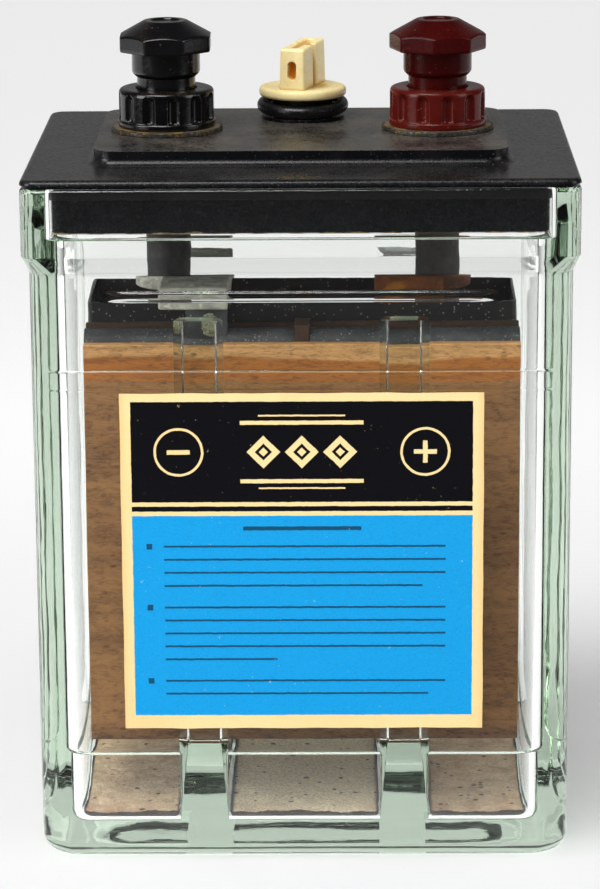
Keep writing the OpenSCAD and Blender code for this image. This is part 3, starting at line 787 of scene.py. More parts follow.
@dataclass(frozen=True)
class CastMetal(Finish):
    """Cast or turned metal under an uneven skin of oxide, with painted shade where its mesh marks it."""

    name: str
    bare: Colour
    oxide: Colour
    crust: Colour
    metallic: float = 0.6
    oxide_level: float = 0.5
    crust_level: float = 0.66
    gloss: float = 0.35
    scale: float = 110.0
    relief: float = 0.12
    grains: float = 0.0
    # Near-black colour of painted shade, laid where the mesh marks it: the washer's rolled rim.
    painted_shade: Colour = (0.01, 0.009, 0.008, 1.0)

    def shader(self, graph: Graph, place: Socket, effects: Effects) -> Socket:
        """Lay the shader.

        Args:
            graph: The material's graph.
            place: Object coordinates.
            effects: The shared node groups.

        Returns:
            The shader.
        """
        skin = graph.group(effects.blotches, Vector=place, Scale=self.scale,
                           Level=self.oxide_level, Soft=0.22)
        shifted = graph.stretch(place, (1.0, 1.0, 1.0), (0.7, 0.4, 0.9))
        crust = graph.group(effects.blotches, Vector=shifted, Scale=self.scale * 1.7,
                            Level=self.crust_level, Soft=0.1)
        grains = graph.group(effects.specks, Vector=place, Scale=2100.0, Size=0.55, Share=0.45)
        patches = graph.spread(graph.noise(place, 260.0, 3.0, 0.6), 0.42, 0.66, 0.0, self.grains)
        worn = graph.spread(skin["Fine"], 0.3, 0.6, 0.35, 0.9)
        # The last coat is near-black painted shade where the mesh marks it.
        colour = graph.coats(
            self.bare, (skin["Mask"], self.oxide), (crust["Mask"], self.crust),
            (graph.times(grains["Mask"], patches), self.crust),
            (graph.times(graph.mark("ochre"), worn), self.crust),
            (graph.times(graph.mark("painted_shade"), worn), self.painted_shade))
        rough = graph.spread(skin["Fine"], 0.2, 0.8, self.gloss, self.gloss + 0.35)
        rough = graph.plus(rough, graph.times(crust["Mask"], 0.3), clamp=True)
        height = graph.plus(skin["Fine"], graph.times(crust["Mask"], 0.8))
        return graph.principled(colour, rough, graph.bump(height, self.relief, 0.8), Metallic=self.metallic)


@dataclass(frozen=True)
class IvoryMoulding(Finish):
    """Cream moulding compound, a little translucent, amber where the mark called hollow is high: painted
    shade, and a painted glow in the slots.
    """

    name: str = "ivory_moulding"
    cream: Colour = paint(238, 220, 162)
    amber: Colour = paint(204, 164, 88)
    # deep: the painted amber glow in the slots, which also deepens the painted shade at the grip's foot and
    # in its top groove.
    deep: Colour = paint(224, 146, 14)
    pit: Colour = paint(110, 72, 34)
    # Near-black painted shade for the stem under the disc.
    painted_shade: Colour = (0.012, 0.009, 0.006, 1.0)

    def shader(self, graph: Graph, place: Socket, effects: Effects) -> Socket:
        """Lay the shader.

        Args:
            graph: The material's graph.
            place: Object coordinates.
            effects: The shared node groups.

        Returns:
            The shader.
        """
        # The mark hollow lays painted shade, and the painted glow in the slots.
        hollow = graph.mark("hollow")
        tint = graph.group(effects.blotches, Vector=place, Scale=150.0, Level=0.58, Soft=0.3)
        pits = graph.group(effects.specks, Vector=place, Scale=520.0, Size=0.22, Share=0.09)
        stain = graph.larger(graph.times(tint["Mask"], 0.35), graph.spread(hollow, 0.0, 0.5))
        # Painted shade, near black, on the stem under the disc; it also takes the subsurface away there.
        painted_shade = graph.mark("painted_shade")
        colour = graph.coats(self.cream, (stain, self.amber), (graph.spread(hollow, 0.45, 1.0), self.deep),
                             (pits["Mask"], self.pit), (painted_shade, self.painted_shade))
        fine = tint["Fine"]
        return graph.principled(
            colour, graph.spread(fine, 0.3, 0.7, 0.26, 0.42), graph.bump(fine, 0.03, 0.6),
            Subsurface_Weight=graph.spread(painted_shade, 0.0, 0.5, 0.15, 0.0),
            Subsurface_Radius=(0.003, 0.002, 0.001), Subsurface_Scale=0.4)


@dataclass(frozen=True)
class Deposit(Finish):
    """Dry powdery deposit, darker by the mark edge, paler by the mark light, which is painted light, rusty
    by the mark rust.
    """

    name: str
    pale: Colour
    dark: Colour
    tinge: Colour
    rim: Colour
    # The colour of painted light, laid where the mark light is high.
    bright: Colour = paint(255, 234, 202)
    rust: Colour = paint(142, 78, 34)
    scale: float = 260.0
    relief: float = 0.3

    def shader(self, graph: Graph, place: Socket, effects: Effects) -> Socket:
        """Lay the shader.

        Args:
            graph: The material's graph.
            place: Object coordinates.
            effects: The shared node groups.

        Returns:
            The shader.
        """
        edge = graph.mark("edge")
        grains = graph.group(effects.blotches, Vector=place, Scale=self.scale, Level=0.5, Soft=0.35)
        tinge = graph.group(effects.blotches, Vector=place, Scale=45.0, Level=0.55, Soft=0.25)
        dots = graph.group(effects.specks, Vector=place, Scale=620.0, Size=0.5, Share=0.16)
        sand = graph.noise(place, self.scale * 6, 4.0, 0.75)
        patchy = graph.spread(grains["Fine"], 0.3, 0.62, 0.15, 1.0)
        # The mark light lays painted light in the bright colour.
        colour = graph.coats(
            self.pale, (grains["Mask"], self.dark),
            (graph.times(tinge["Mask"], 0.45), self.tinge), (graph.mark("light"), self.bright),
            (graph.times(graph.mark("rust"), patchy), self.rust),
            (graph.spread(sand, 0.58, 0.38, 0.0, 0.5), self.dark),
            (graph.times(dots["Mask"], 0.85), self.rim), (graph.spread(edge, 0.35, 0.95), self.rim))
        height = graph.plus(grains["Mask"], graph.plus(grains["Fine"], sand))
        return graph.principled(colour, 0.9, graph.bump(height, self.relief, 0.9))


@dataclass(frozen=True)
class Print:
    """Marks on the label, in millimetres: x across from its middle, z up from the base of the jar."""

    graph: Graph
    x: Socket
    z: Socket
    line_pitch: float = 3.0
    line_left: float = -30.5
    line_right: float = 31.5
    lozenge_pitch: float = 8.4
    lozenge_size: float = 3.7
    sign_at: float = 27.0

    def box(self, middle: tuple[float, float], size: tuple[float, float]) -> Socket:
        """One inside a box given by its middle and its size."""
        across, up = [self.graph.band(value, m - s / 2, m + s / 2)
                      for value, m, s in zip((self.x, self.z), middle, size)]
        return self.graph.times(across, up)

    def lines(self, low: float, count: int, last: float) -> Socket:
        """A paragraph of ruled lines at an even pitch, the lowest one shorter, with a square before it.

        Args:
            low: Height of the lowest line.
            count: How many lines it has.
            last: Where the lowest line ends.

        Returns:
            The mask of the ink.
        """
        graph, x, z = self.graph, self.x, self.z
        top = low + (count - 1) * self.line_pitch
        steps = graph.math("FRACT", graph.math("DIVIDE", graph.minus(z, low - self.line_pitch / 2),
                                               self.line_pitch))
        off = graph.off(steps, 0.5)
        rule = graph.spread(off, 0.055, 0.10, 1.0, 0.0)
        rows = graph.band(z, low - 0.8, top + 0.8)
        span = graph.band(x, self.line_left, self.line_right)
        whole = graph.larger(graph.spread(z, low + 1.2, low + 1.8), graph.spread(x, last, last - 0.2))
        mask = graph.times(graph.times(rule, rows), graph.times(span, whole))
        return graph.larger(mask, self.box((self.line_left - 3.2, top), (1.3, 1.3)))

    def ring(self, middle: tuple[float, float], radius: float, thick: float) -> Socket:
        """A plain ring: where the distance from its middle is near its radius.

        Args:
            middle: Its middle, across and up.
            radius: Its radius.
            thick: Width of its line.

        Returns:
            The mask of the ring.
        """
        graph = self.graph
        dx, dz = graph.minus(self.x, middle[0]), graph.minus(self.z, middle[1])
        squares = graph.plus(graph.times(dx, dx), graph.times(dz, dz))
        reach = graph.off(graph.math("SQRT", squares), radius)
        return graph.spread(reach, thick / 2 - 0.06, thick / 2 + 0.06, 1.0, 0.0)

    def lozenges(self, middle: float) -> Socket:
        """A row of plain hollow lozenges: where the distances across and up add to a size.

        Args:
            middle: Height of the row's middle.

        Returns:
            The mask of the row.
        """
        graph, pitch, size = self.graph, self.lozenge_pitch, self.lozenge_size
        across = graph.math("FRACT", graph.plus(graph.math("DIVIDE", self.x, pitch), 0.5))
        across = graph.times(graph.off(across, 0.5), pitch)
        up = graph.off(self.z, middle)
        reach = graph.plus(across, up)
        solid = graph.spread(reach, size - 0.1, size + 0.1, 1.0, 0.0)
        hollow = graph.spread(reach, size - 1.9, size - 1.7, 1.0, 0.0)
        core = graph.spread(reach, 0.9, 1.1, 1.0, 0.0)
        row = graph.band(self.x, -pitch * 1.5, pitch * 1.5)
        shape = graph.plus(graph.minus(solid, hollow, clamp=True), core)
        return graph.times(shape, row)

    def heading(self, middle: float) -> Socket:
        """The light marks on the black heading: lozenges between rules, a minus and a plus in rings.

        Args:
            middle: Height of the heading's middle.

        Returns:
            The mask of the marks.
        """
        sign = self.sign_at
        marks = [self.lozenges(middle)]
        for rise, size in ((6.6, (27.0, 0.9)), (8.2, (19.0, 0.35))):
            marks += [self.box((0.0, middle + side * rise), size) for side in (1, -1)]
        for side in (-sign, sign):
            marks.append(self.ring((side, middle), 5.2, 0.55))
            marks.append(self.box((side, middle), (5.0, 1.0)))
        marks.append(self.box((sign, middle), (1.0, 5.0)))
        whole = marks[0]
        for mark in marks[1:]:
            whole = self.graph.larger(whole, mark)
        return whole


@dataclass(frozen=True)
class PrintedPaper(Finish):
    """Aged label paper: a black heading with pole signs and lozenges, a blue panel of ruled lines.

    Places are in millimetres on the label: across from its middle, up from the base of the jar.
    """

    name: str
    width: float
    low: float
    high: float
    cream: Colour = paint(233, 206, 150)
    aged: Colour = paint(212, 170, 104)
    black: Colour = paint(12, 12, 17)
    blue: Colour = paint(14, 148, 212)
    ink: Colour = paint(18, 44, 66)
    side_margin: float = 2.5
    top_margin: float = 1.95
    head_height: float = 22.7
    stripe_drop: float = 0.95
    stripe_height: float = 1.15
    panel_drop: float = 1.0
    foot_margin: float = 3.2

    def shader(self, graph: Graph, place: Socket, effects: Effects) -> Socket:
        """Lay the shader.

        Args:
            graph: The material's graph.
            place: Object coordinates.
            effects: The shared node groups.

        Returns:
            The shader.
        """
        wobble = graph.noise(place, 500.0, 3.0, 0.6)
        axes = graph.add("ShaderNodeSeparateXYZ", {0: place})
        shift = graph.spread(wobble, 0.2, 0.8, -0.06, 0.06)
        x = graph.plus(graph.times(axes.outputs["X"], 1 / MM), shift)
        z = graph.plus(graph.times(axes.outputs["Z"], 1 / MM), shift)
        drawn = Print(graph, x, z)
        half = self.width / 2 - self.side_margin
        head_top = self.high - self.top_margin
        head_low = head_top - self.head_height
        stripe_top = head_low - self.stripe_drop
        stripe_low = stripe_top - self.stripe_height
        panel_top = stripe_low - self.panel_drop
        panel_low = self.low + self.foot_margin
        inside = graph.band(x, -half, half)
        head, stripe, panel = [
            graph.times(inside, graph.band(z, low, top))
            for low, top in ((head_low, head_top), (stripe_low, stripe_top), (panel_low, panel_top))]
        black = graph.larger(head, stripe)
        light = drawn.heading((head_low + head_top) / 2)
        ruled = drawn.box((0.0, panel_top - 2.9), (26.0, 0.9))
        for drop, count, last in ((16.0, 4, 26.5), (33.0, 5, -5.6), (41.0, 2, 27.8)):
            ruled = graph.larger(ruled, drawn.lines(panel_top - drop, count, last))
        worn = graph.group(effects.blotches, Vector=place, Scale=900.0, Level=0.72, Soft=0.05)
        scuffs = graph.group(effects.specks, Vector=place, Scale=800.0, Size=0.3, Share=0.05)
        stains = graph.group(effects.blotches, Vector=place, Scale=38.0, Level=0.62, Soft=0.25)
        edge_x = graph.spread(graph.math("ABSOLUTE", x), self.width / 2 - 2.0, self.width / 2)
        age = graph.larger(graph.times(stains["Mask"], 0.3), graph.times(edge_x, 0.4))
        paper = graph.mix(age, self.cream, self.aged)
        weave = graph.noise(place, 2600.0, 2.0, 0.6)
        paper = graph.mix(graph.spread(weave, 0.4, 0.7, 0.0, 0.12), paper, self.aged)
        printed = graph.mix(graph.spread(weave, 0.4, 0.75, 0.0, 0.16), self.blue, self.ink)
        lost = graph.larger(worn["Mask"], scuffs["Mask"])
        colour = graph.coats(
            paper, (panel, printed), (graph.times(ruled, 0.85), self.ink), (black, self.black),
            (graph.times(light, head), paper), (graph.times(lost, 0.45), paper))
        height = graph.plus(weave, graph.times(lost, -0.6))
        ink = graph.larger(black, panel)
        rough = graph.spread(ink, 0.0, 1.0, 0.62, 0.45)
        return graph.principled(colour, rough, graph.bump(height, 0.03, 0.7), Specular_IOR_Level=0.12)


class Finishes:
    """Every material of the object, each built once."""

    def __init__(self, effects: Effects, label_box: tuple[Array, Array]) -> None:
        """Build the materials.

        Args:
            effects: The shared node groups.
            label_box: Lowest and highest corner of the label, in millimetres.
        """
        low, high = label_box
        self.glass = PressedGlass().build()
        self.label = PrintedPaper("printed_paper", high[0] - low[0], low[2], high[2]).build(effects)
        # The lid's paler platform top, above 159 mm, is dust and painted sheen.
        self.lid = Moulding("lid_moulding", paint(9, 10, 13), paint(22, 22, 25), paint(116, 108, 98),
                            cover=0.52, veil=0.62, dust_scale=70.0, gloss=0.18, dull=0.34,
                            speck=0.2, speck_tone=0.2, specular=0.28, dust_and_sheen_height=159.0).build(effects)
        self.black = Moulding("black_moulding", paint(8, 8, 10), paint(15, 14, 15), paint(104, 90, 66),
                              cover=0.36, veil=0.22, gloss=0.12, dull=0.28, grain=0.02,
                              coat=0.1).build(effects)
        self.red = Moulding("red_moulding", paint(48, 4, 4), paint(62, 9, 7), paint(108, 70, 54),
                            cover=0.34, veil=0.1, gloss=0.14, dull=0.3, grain=0.02,
                            specular=0.13).build(effects)
        self.nuts = {
            Pole.NEGATIVE: Moulding(
                "black_nut_moulding", paint(4, 4, 6), paint(10, 9, 10), paint(96, 82, 60),
                cover=0.4, veil=0.2, gloss=0.12, dull=0.28, grain=0.02).build(effects),
            Pole.POSITIVE: Moulding(
                "red_nut_moulding", paint(70, 13, 9), paint(84, 20, 14), paint(124, 84, 60),
                cover=0.4, veil=0.16, gloss=0.14, dull=0.3, grain=0.02, specular=0.18).build(effects)}
        self.rubber = Moulding("rubber", paint(12, 12, 14), paint(26, 26, 28), paint(90, 84, 74),
                               cover=0.3, veil=0.3, gloss=0.2, dull=0.4).build(effects)
        self.compound = Moulding("sealing_compound", paint(10, 10, 12), paint(22, 21, 20),
                                 paint(120, 104, 76), veil=0.3, gloss=0.4, dull=0.7).build(effects)
        self.ebonite = Moulding("ebonite", paint(25, 25, 29), paint(44, 40, 38), paint(150, 140, 122),
                                cover=0.2, veil=0.3, gloss=0.3, dull=0.55, speck=0.3,
                                speck_scale=1300.0, speck_tone=0.8).build(effects)
        self.board = Timber("guard_board_timber", paint(208, 154, 98), paint(170, 102, 40),
                            paint(152, 108, 66), paint(70, 40, 18)).build(effects)
        self.veneer = Timber("separator_timber", paint(66, 42, 24), paint(60, 38, 22),
                             paint(70, 46, 28), paint(38, 24, 16)).build(effects)
        self.lead = CastMetal("dull_lead", paint(70, 70, 73), paint(46, 46, 49), paint(142, 141, 138),
                              metallic=0.2, gloss=0.38, crust_level=0.74, relief=0.12,
                              grains=0.9).build(effects)
        self.strap = CastMetal("crusted_lead", paint(198, 195, 180), paint(148, 146, 136),
                               paint(214, 212, 198), metallic=0.15, gloss=0.5, scale=240.0,
                               crust_level=0.6, relief=0.16, grains=0.9).build(effects)
        # The post's lead is darkened past its own stained brown-grey: painted shade for the shadow it
        # stands in.
        self.post = CastMetal("stained_lead_with_painted_shade", paint(64, 57, 52), paint(34, 32, 34), paint(98, 86, 74),
                              metallic=0.2, gloss=0.45, relief=0.1, grains=0.5).build(effects)
        self.peroxide = CastMetal("lead_peroxide", paint(136, 68, 3), paint(74, 36, 3),
                                  paint(176, 112, 26), metallic=0.05, gloss=0.5,
                                  grains=0.3).build(effects)
        self.brass = CastMetal("tarnished_brass", paint(184, 144, 78), paint(118, 88, 48),
                               paint(90, 110, 88), metallic=1.0, gloss=0.25, relief=0.03).build(effects)
        self.washer = CastMetal("tarnished_washer", paint(120, 114, 104), paint(78, 72, 64),
                                paint(146, 118, 66), metallic=0.6, gloss=0.3,
                                crust_level=0.58, relief=0.04, scale=180.0).build(effects)
        self.ivory = IvoryMoulding().build(effects)
        self.sediment = Deposit("dried_sediment", paint(220, 194, 162), paint(146, 116, 88),
                                paint(190, 142, 96), paint(38, 20, 10)).build(effects)
        self.crust = Deposit("sulphate_crust", paint(216, 220, 192), paint(112, 118, 84),
                             paint(176, 150, 92), paint(62, 52, 24), scale=700.0, relief=0.6).build(effects)
        self.stain = Deposit("dried_acid_stain", paint(196, 184, 150), paint(132, 112, 80),
                             paint(150, 110, 60), paint(104, 84, 54), scale=420.0).build(effects)


def dress(piece: Object, material: Material, body: str, slot: str) -> None:
    """Give a piece its material, its body and its material slot.

    Args:
        piece: The piece.
        material: Its finish.
        body: The body that it rides on.
        slot: The record's name of its finish.
    """
    piece.data.materials.clear()
    piece.data.materials.append(material)
    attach(piece, body)
    log.info("%s rides on %s as %s", piece.name, body, slot)


def dress_node(node: str, material: Material) -> None:
    """Give a CAD node that keeps its shape a new material in all its slots."""
    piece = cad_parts[node]
    for place in piece.material_slots:
        place.material = material
    log.info("%s keeps its CAD shape", node)


@dataclass
class GlassJar:
    """The pressed-glass jar: walls, collar, ledge, floor, and the ribs that carry the pack."""

    body: str = "cell"
    overhang: float = 1.4
    shoulder_low: float = 135.0
    collar_low: float = 139.0
    ledge: float = 142.0
    mouth_wall: float = 5.2
    wall: float = 5.6
    floor: float = 8.0
    body_corner: float = 6.0
    collar_corner: float = 3.5
    mouth_corner: float = 3.0
    cavity_corner: float = 6.0
    well_step: float = 1.0
    well_drop: float = 1.0
    well_rim: float = 1.5
    well_edge: float = 2.5
    base_edge: float = 6.0
    rib_at: float = 22.5
    rib_width: float = 10.4
    rib_draft: float = 1.5
    rib_edge: float = 0.8
    rib_crown: float = 1.3
    floor_rib: float = 17.0
    wall_rib: float = 8.3
    wall_rib_top: float = 124.0
    bar_height: float = 130.2
    bar_length: float = 80.2
    bar_width: float = 2.2
    bar_out: float = 0.7
    seam_heights: tuple[float, float] = (113.6, 109.4)
    seam_outs: tuple[float, float] = (0.26, 0.13)
    seam_width: float = 0.22
    plain_top: float = 106.0
    shoulder_foot: float = 133.6
    wall_foot: float = 34.0
    rim_round: float = 1.0

    def __post_init__(self) -> None:
        """Take the outer size from the CAD node, and the cavity's from it."""
        self.half_width, self.half_depth, self.height = box_mm("glass_jar")[1]
        self.inner_width = self.half_width - self.overhang - self.wall
        self.inner_depth = self.half_depth - self.overhang - self.wall
        self.flat = self.inner_width - self.cavity_corner

    def rib_section(self) -> tuple[Array, Array, Array]:
        """Section across one rib from its foot on the left to its foot on the right.

        The flank leans by the draft, and the edge is a quarter circle. Height and depth share the
        same stations, so that the floor rib and the wall rib meet along one line.

        Returns:
            Places across, heights of the floor rib and depths of the wall rib.
        """
        t = smooth_step(np.linspace(0, 1, 9), 0, 1)
        a = np.linspace(0, np.pi / 2, 7)[1:]
        half = self.rib_width / 2
        foot = half + 0.25
        left = join([[-foot - 0.5], -foot + (foot - half + self.rib_draft) * t])
        left = join([left, left[-1] + self.rib_edge * (1 - np.cos(a))])
        lines = [join([left, [0.0], -left[::-1]])]
        for size in (self.floor_rib, self.wall_rib):
            left = join([[0.0], t * (size - self.rib_edge)])
            left = join([left, left[-1] + self.rib_edge * np.sin(a)])
            lines.append(join([left, [size], left[::-1]]))
        return tuple(lines)

    def stations(self) -> dict[str, Array]:
        """Stations across the jar, with the inner profile at each.

        Returns:
            Arrays by name: x across the cavity, the floor's height, the wall's place behind the
            middle without its ribs, the rib's depth, and the angle round the corner, from 0 on the
            flat front to a right angle on the side.
        """
        rib_x, rib_z, rib_y = self.rib_section()
        outer = np.linspace(-self.flat, -self.rib_at + rib_x[0], 10)[:-1]
        middle = np.linspace(-self.rib_at - rib_x[0], self.rib_at + rib_x[0], 14)[1:-1]
        x = join([outer, -self.rib_at + rib_x, middle, self.rib_at + rib_x, -outer[::-1]])
        turn = np.linspace(np.pi / 2, 0, 10)[:-1]
        side = self.flat + self.cavity_corner * np.sin(turn)
        plain, gap = np.zeros(len(turn) + len(outer)), np.zeros(len(middle))
        rise, out = [join([plain, rib, gap, rib, plain]) for rib in (rib_z, rib_y)]
        return {"x": join([-side, x, side[::-1]]), "rise": rise, "out": out,
                "turn": join([turn, np.zeros(len(x)), turn[::-1]])}

    def well_inset(self, z: Array) -> Array:
        """How far the wells step in from the cavity's walls: an arc at their rim, level below it."""
        top = self.floor + self.floor_rib - self.well_drop
        rise = np.clip(self.well_rim - (z - top), 0, self.well_rim)
        return np.minimum(self.well_rim - np.sqrt(self.well_rim ** 2 - rise ** 2), self.well_step)

    def cavity(self, at: dict[str, Array]) -> Array:
        """Inner sheet: for each station a line down the front wall, over the floor, up the rear wall.

        The wall line stands in by the rib's depth, which at the rib's top falls off along a quarter
        of an ellipse, and by the step of the wells near the floor. An arc joins wall and floor.

        Args:
            at: The stations.

        Returns:
            Points by row down the front and up the rear, and by station.
        """
        lean = np.sin(at["turn"]) * np.sign(at["x"])
        well_w = self.inner_width - self.well_step
        over = np.abs(at["x"] - self.well_step * lean) - (well_w - self.well_edge)
        over = np.clip(over, 0, self.well_edge)
        side_rise = self.well_edge - np.sqrt(self.well_edge ** 2 - over ** 2)
        floor = self.floor + np.maximum(side_rise, at["rise"])
        share = at["rise"] / self.floor_rib
        edge = self.well_edge * (1 - share) + 1.6 * share
        edge = np.where(over > 0, np.maximum(self.well_edge - side_rise, 0.02), edge)
        top = self.floor + self.floor_rib - self.well_drop
        a = np.linspace(0, math.acos(1 - self.well_step / self.well_rim), 7)
        low = join([
            [31.0, 28.0, 26.5], top + self.well_rim * (1 - np.sin(a)),
            np.linspace(top - 0.4, self.floor + self.well_edge, 7)])
        top_round = self.wall_rib_top - self.rib_crown
        high = join([
            np.linspace(self.ledge, self.wall_rib_top + 0.6, 7),
            self.wall_rib_top - self.rib_crown * (1 - np.cos(np.linspace(0, np.pi / 2, 12))),
            np.linspace(top_round, self.wall_foot, 30)[1:]])
        rows = join([high, low])[:, None]
        wall_z = np.where(rows >= self.wall_foot, rows, np.maximum(rows, floor + edge))
        crown = np.clip(wall_z - top_round, 0, self.rib_crown) / self.rib_crown
        nose = self.wall_rib * np.sqrt(1 - crown ** 2)
        out = soft_least(at["out"], nose, 0.35)
        out = np.clip(out, 0, None) * (at["out"] > 0) * (wall_z <= self.wall_rib_top)
        inset = self.well_inset(wall_z)
        wall_y = self.inner_depth - self.cavity_corner + (self.cavity_corner - inset) * np.cos(at["turn"])
        wall_y = wall_y - np.clip(out - inset, 0, None)
        wall_x = at["x"] - inset * lean
        b = np.linspace(0, np.pi / 2, 8)[1:, None]
        arc_y = wall_y[-1] - edge * (1 - np.cos(b))
        arc_z = floor + edge * (1 - np.sin(b))
        across = np.linspace(1, 0, 8)[1:, None]
        floor_y = (wall_y[-1] - edge) * across
        y = join([wall_y, arc_y, floor_y])
        z = join([wall_z, arc_z, floor * np.ones_like(floor_y)])
        x = join([wall_x, np.broadcast_to(wall_x[-1], (len(y) - len(wall_x), len(floor)))])
        front = np.stack([x, -y, z], axis=-1)
        rear = front[-2::-1] * np.array([1, -1, 1])
        return join([front, rear])

    def loop(self, at: dict[str, Array], half_w: float, half_d: float, corner: float, z: float) -> Array:
        """A level round-cornered loop with the same stations as the cavity, front then rear.

        Args:
            at: The stations.
            half_w: Half its width.
            half_d: Half its depth.
            corner: Radius of its corners.
            z: Its height.

        Returns:
            The points of the loop.
        """
        inside = np.clip(at["x"] / self.flat, -1, 1) * (half_w - corner)
        x = inside + np.sign(at["x"]) * corner * np.sin(at["turn"])
        y = half_d - corner + corner * np.cos(at["turn"])
        front = np.stack([x, -y, np.full_like(x, z)], axis=-1)
        return join([front, front[::-1] * np.array([1, -1, 1])])

    def outer_profile(self) -> Array:
        """Profile of the glass from the ledge up over the rim and down the outside to the base.

        Returns:
            Rows of how far the loop lies inside the collar's outline, its corner radius and its height.
        """
        inner = self.overhang + self.wall
        rows = [(inner, self.cavity_corner, self.ledge), (inner - 0.3, 5.4, self.ledge + 0.1)]
        rows += [(self.mouth_wall + 0.4, 3.4, self.ledge + 0.1), (self.mouth_wall, 3.0, self.ledge + 0.5)]
        rows += [(self.mouth_wall, 3.0, z) for z in np.linspace(self.ledge + 1.5, self.height - 1, 5)]
        a = np.linspace(0, np.pi, 13)
        half = self.mouth_wall / 2
        r = self.rim_round
        rim_in = half + (half - r) * np.sign(np.cos(a)) * (np.abs(np.cos(a)) > 1e-9) + r * np.cos(a)
        rim_z = self.height - r + r * np.sin(a)
        corner = np.linspace(self.mouth_corner, self.collar_corner, 13)
        rows += [(i, c, z) for i, c, z in zip(rim_in, corner, rim_z)]
        rows += [(0.0, self.collar_corner, z)
                 for z in np.linspace(self.height - 2, self.collar_low + 0.6, 7)]
        slope = rounded_path([(0.0, self.collar_low + 0.6, 0), (0.0, self.collar_low, 0.9),
                              (self.overhang, self.shoulder_low, 1.2),
                              (self.overhang, self.shoulder_foot, 0)], 6)
        mix = np.clip((self.collar_low - slope[:, 1]) / (self.collar_low - self.shoulder_low), 0, 1)
        rows += [(i, self.collar_corner + (self.body_corner - self.collar_corner) * m, z)
                 for i, z, m in zip(slope[1:, 0], slope[1:, 1], mix[1:])]
        bar = self.bar_height + self.bar_width * np.linspace(0.85, -0.85, 19)
        seams = [s + d for s in self.seam_heights for d in (0.5, 0.3, 0.12, 0, -0.12, -0.3, -0.5)]
        plain = np.linspace(self.plain_top, self.base_edge + 1, 16)
        rows += [(self.overhang, self.body_corner, z)
                 for z in join([bar, [127, 121], seams, plain])]
        for b in np.linspace(0, np.pi / 2, 11):
            rise = self.base_edge * (1 - np.sin(b))
            inset = self.base_edge * (1 - np.cos(b))
            rows.append((self.overhang + inset, max(self.body_corner - inset * 0.3, 2.0), rise))
        foot = self.overhang + self.base_edge
        rows += [(foot + 5, self.body_corner, 0.0), (foot + 8, self.body_corner, 0.5)]
        return np.array(rows)

    def raised(self, loops: Array) -> Array:
        """Push the level bar and the mould seams out of the front face.

        The bar stands out by a half circle across its width and tapers at its ends, and a seam is a
        small bell curve all round the body.

        Args:
            loops: Points by loop and station.

        Returns:
            The points with the bar and the seams.
        """
        x, y, z = loops[..., 0], loops[..., 1], loops[..., 2]
        on_body = (z < self.shoulder_low) & (z > self.base_edge + 0.5)
        front = on_body & (y < -(self.half_depth - self.overhang - 0.05))
        along = np.clip(np.abs(x) - (self.bar_length / 2 - self.bar_width / 2), 0, None)
        reach = np.sqrt((z - self.bar_height) ** 2 + along ** 2) / (self.bar_width / 2)
        bar = self.bar_out * np.sqrt(np.clip(1 - reach ** 2, 0, 1))
        seam = np.zeros_like(z)
        for height, out in zip(self.seam_heights, self.seam_outs):
            seam = seam + out * np.exp(-((z - height) / self.seam_width) ** 2)
        y = y - np.where(front, bar, 0) - np.where(front, seam, 0)
        return np.stack([x, y, z], axis=-1)

    def build(self, finish: Material) -> None:
        """Build the jar and dress it.

        Args:
            finish: The glass.
        """
        at = self.stations()
        count = len(at["x"])
        sheet = self.cavity(at)
        rows = len(sheet)
        profile = self.outer_profile()
        loops = np.stack([self.loop(at, self.half_width - i, self.half_depth - i, c, z)
                          for i, c, z in profile[1:]])
        loops = self.raised(loops)
        points = join([sheet.reshape(-1, 3), loops.reshape(-1, 3)])
        numbers = np.arange(rows * count).reshape(rows, count)
        faces = [strip_faces(numbers[:-1], numbers[1:], False)]
        middle = rows // 2
        for column in (0, count - 1):
            front = numbers[:middle + 1, column]
            rear = numbers[:middle - 1:-1, column]
            faces.append(strip_faces(front, rear, False))
        rim = join([numbers[0], numbers[-1][::-1]])
        stack = rows * count + np.arange(len(loops) * 2 * count).reshape(len(loops), 2 * count)
        stack = join([rim[None, :], stack])
        faces.append(strip_faces(stack[:-1], stack[1:], True))
        base = stack[-1]
        faces.append(strip_faces(base[:count], base[count:][::-1], False))
        piece = make_piece("pressed_glass_jar", points, join(faces), sharp=50.0)
        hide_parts("glass_jar")
        dress(piece, finish, self.body, "glass")


@dataclass
class PaperLabel:
    """The pasted paper label on the front of the jar."""

    body: str = "cell"
    step: float = 1.0
    edge_wander: float = 0.22

    def build(self, finish: Material) -> None:
        """Build a thin sheet with a slightly uneven edge, and dress it.

        The sheet is a grid in X and Z whose outline wanders by a few tenths of a millimetre.

        Args:
            finish: The printed paper.
        """
        low, high = box_mm("front_label")
        across = int((high[0] - low[0]) / self.step)
        up = int((high[2] - low[2]) / self.step)
        s, t = np.meshgrid(np.linspace(0, 1, across + 1), np.linspace(0, 1, up + 1))
        x = low[0] + (high[0] - low[0]) * s
        z = low[2] + (high[2] - low[2]) * t
        near_x = np.abs(2 * s - 1) ** 24
        near_z = np.abs(2 * t - 1) ** 24
        x = x - np.sign(s - 0.5) * near_x * self.edge_wander * (0.6 + 0.4 * wander(3, z * 0.35, s))
        z = z - np.sign(t - 0.5) * near_z * self.edge_wander * (0.6 + 0.4 * wander(4, x * 0.35, t))
        front = np.stack([x, np.full_like(x, low[1]), z], axis=-1)
        back = np.stack([x, np.full_like(x, high[1] - 0.02), z], axis=-1)
        count = front.shape[0] * front.shape[1]
        numbers = np.arange(count).reshape(front.shape[:2])
        ring = join([numbers[0], numbers[1:, -1], numbers[-1, -2::-1], numbers[-2:0:-1, 0]])
        faces = join([
            grid_faces(*front.shape[:2]), grid_faces(*front.shape[:2], start=count),
            strip_faces(ring[None, :], ring[None, :] + count, True)])
        points = join([front.reshape(-1, 3), back.reshape(-1, 3)])
        piece = make_piece("printed_label", points, faces)
        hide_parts("front_label")
        dress(piece, finish, self.body, "label_paper")


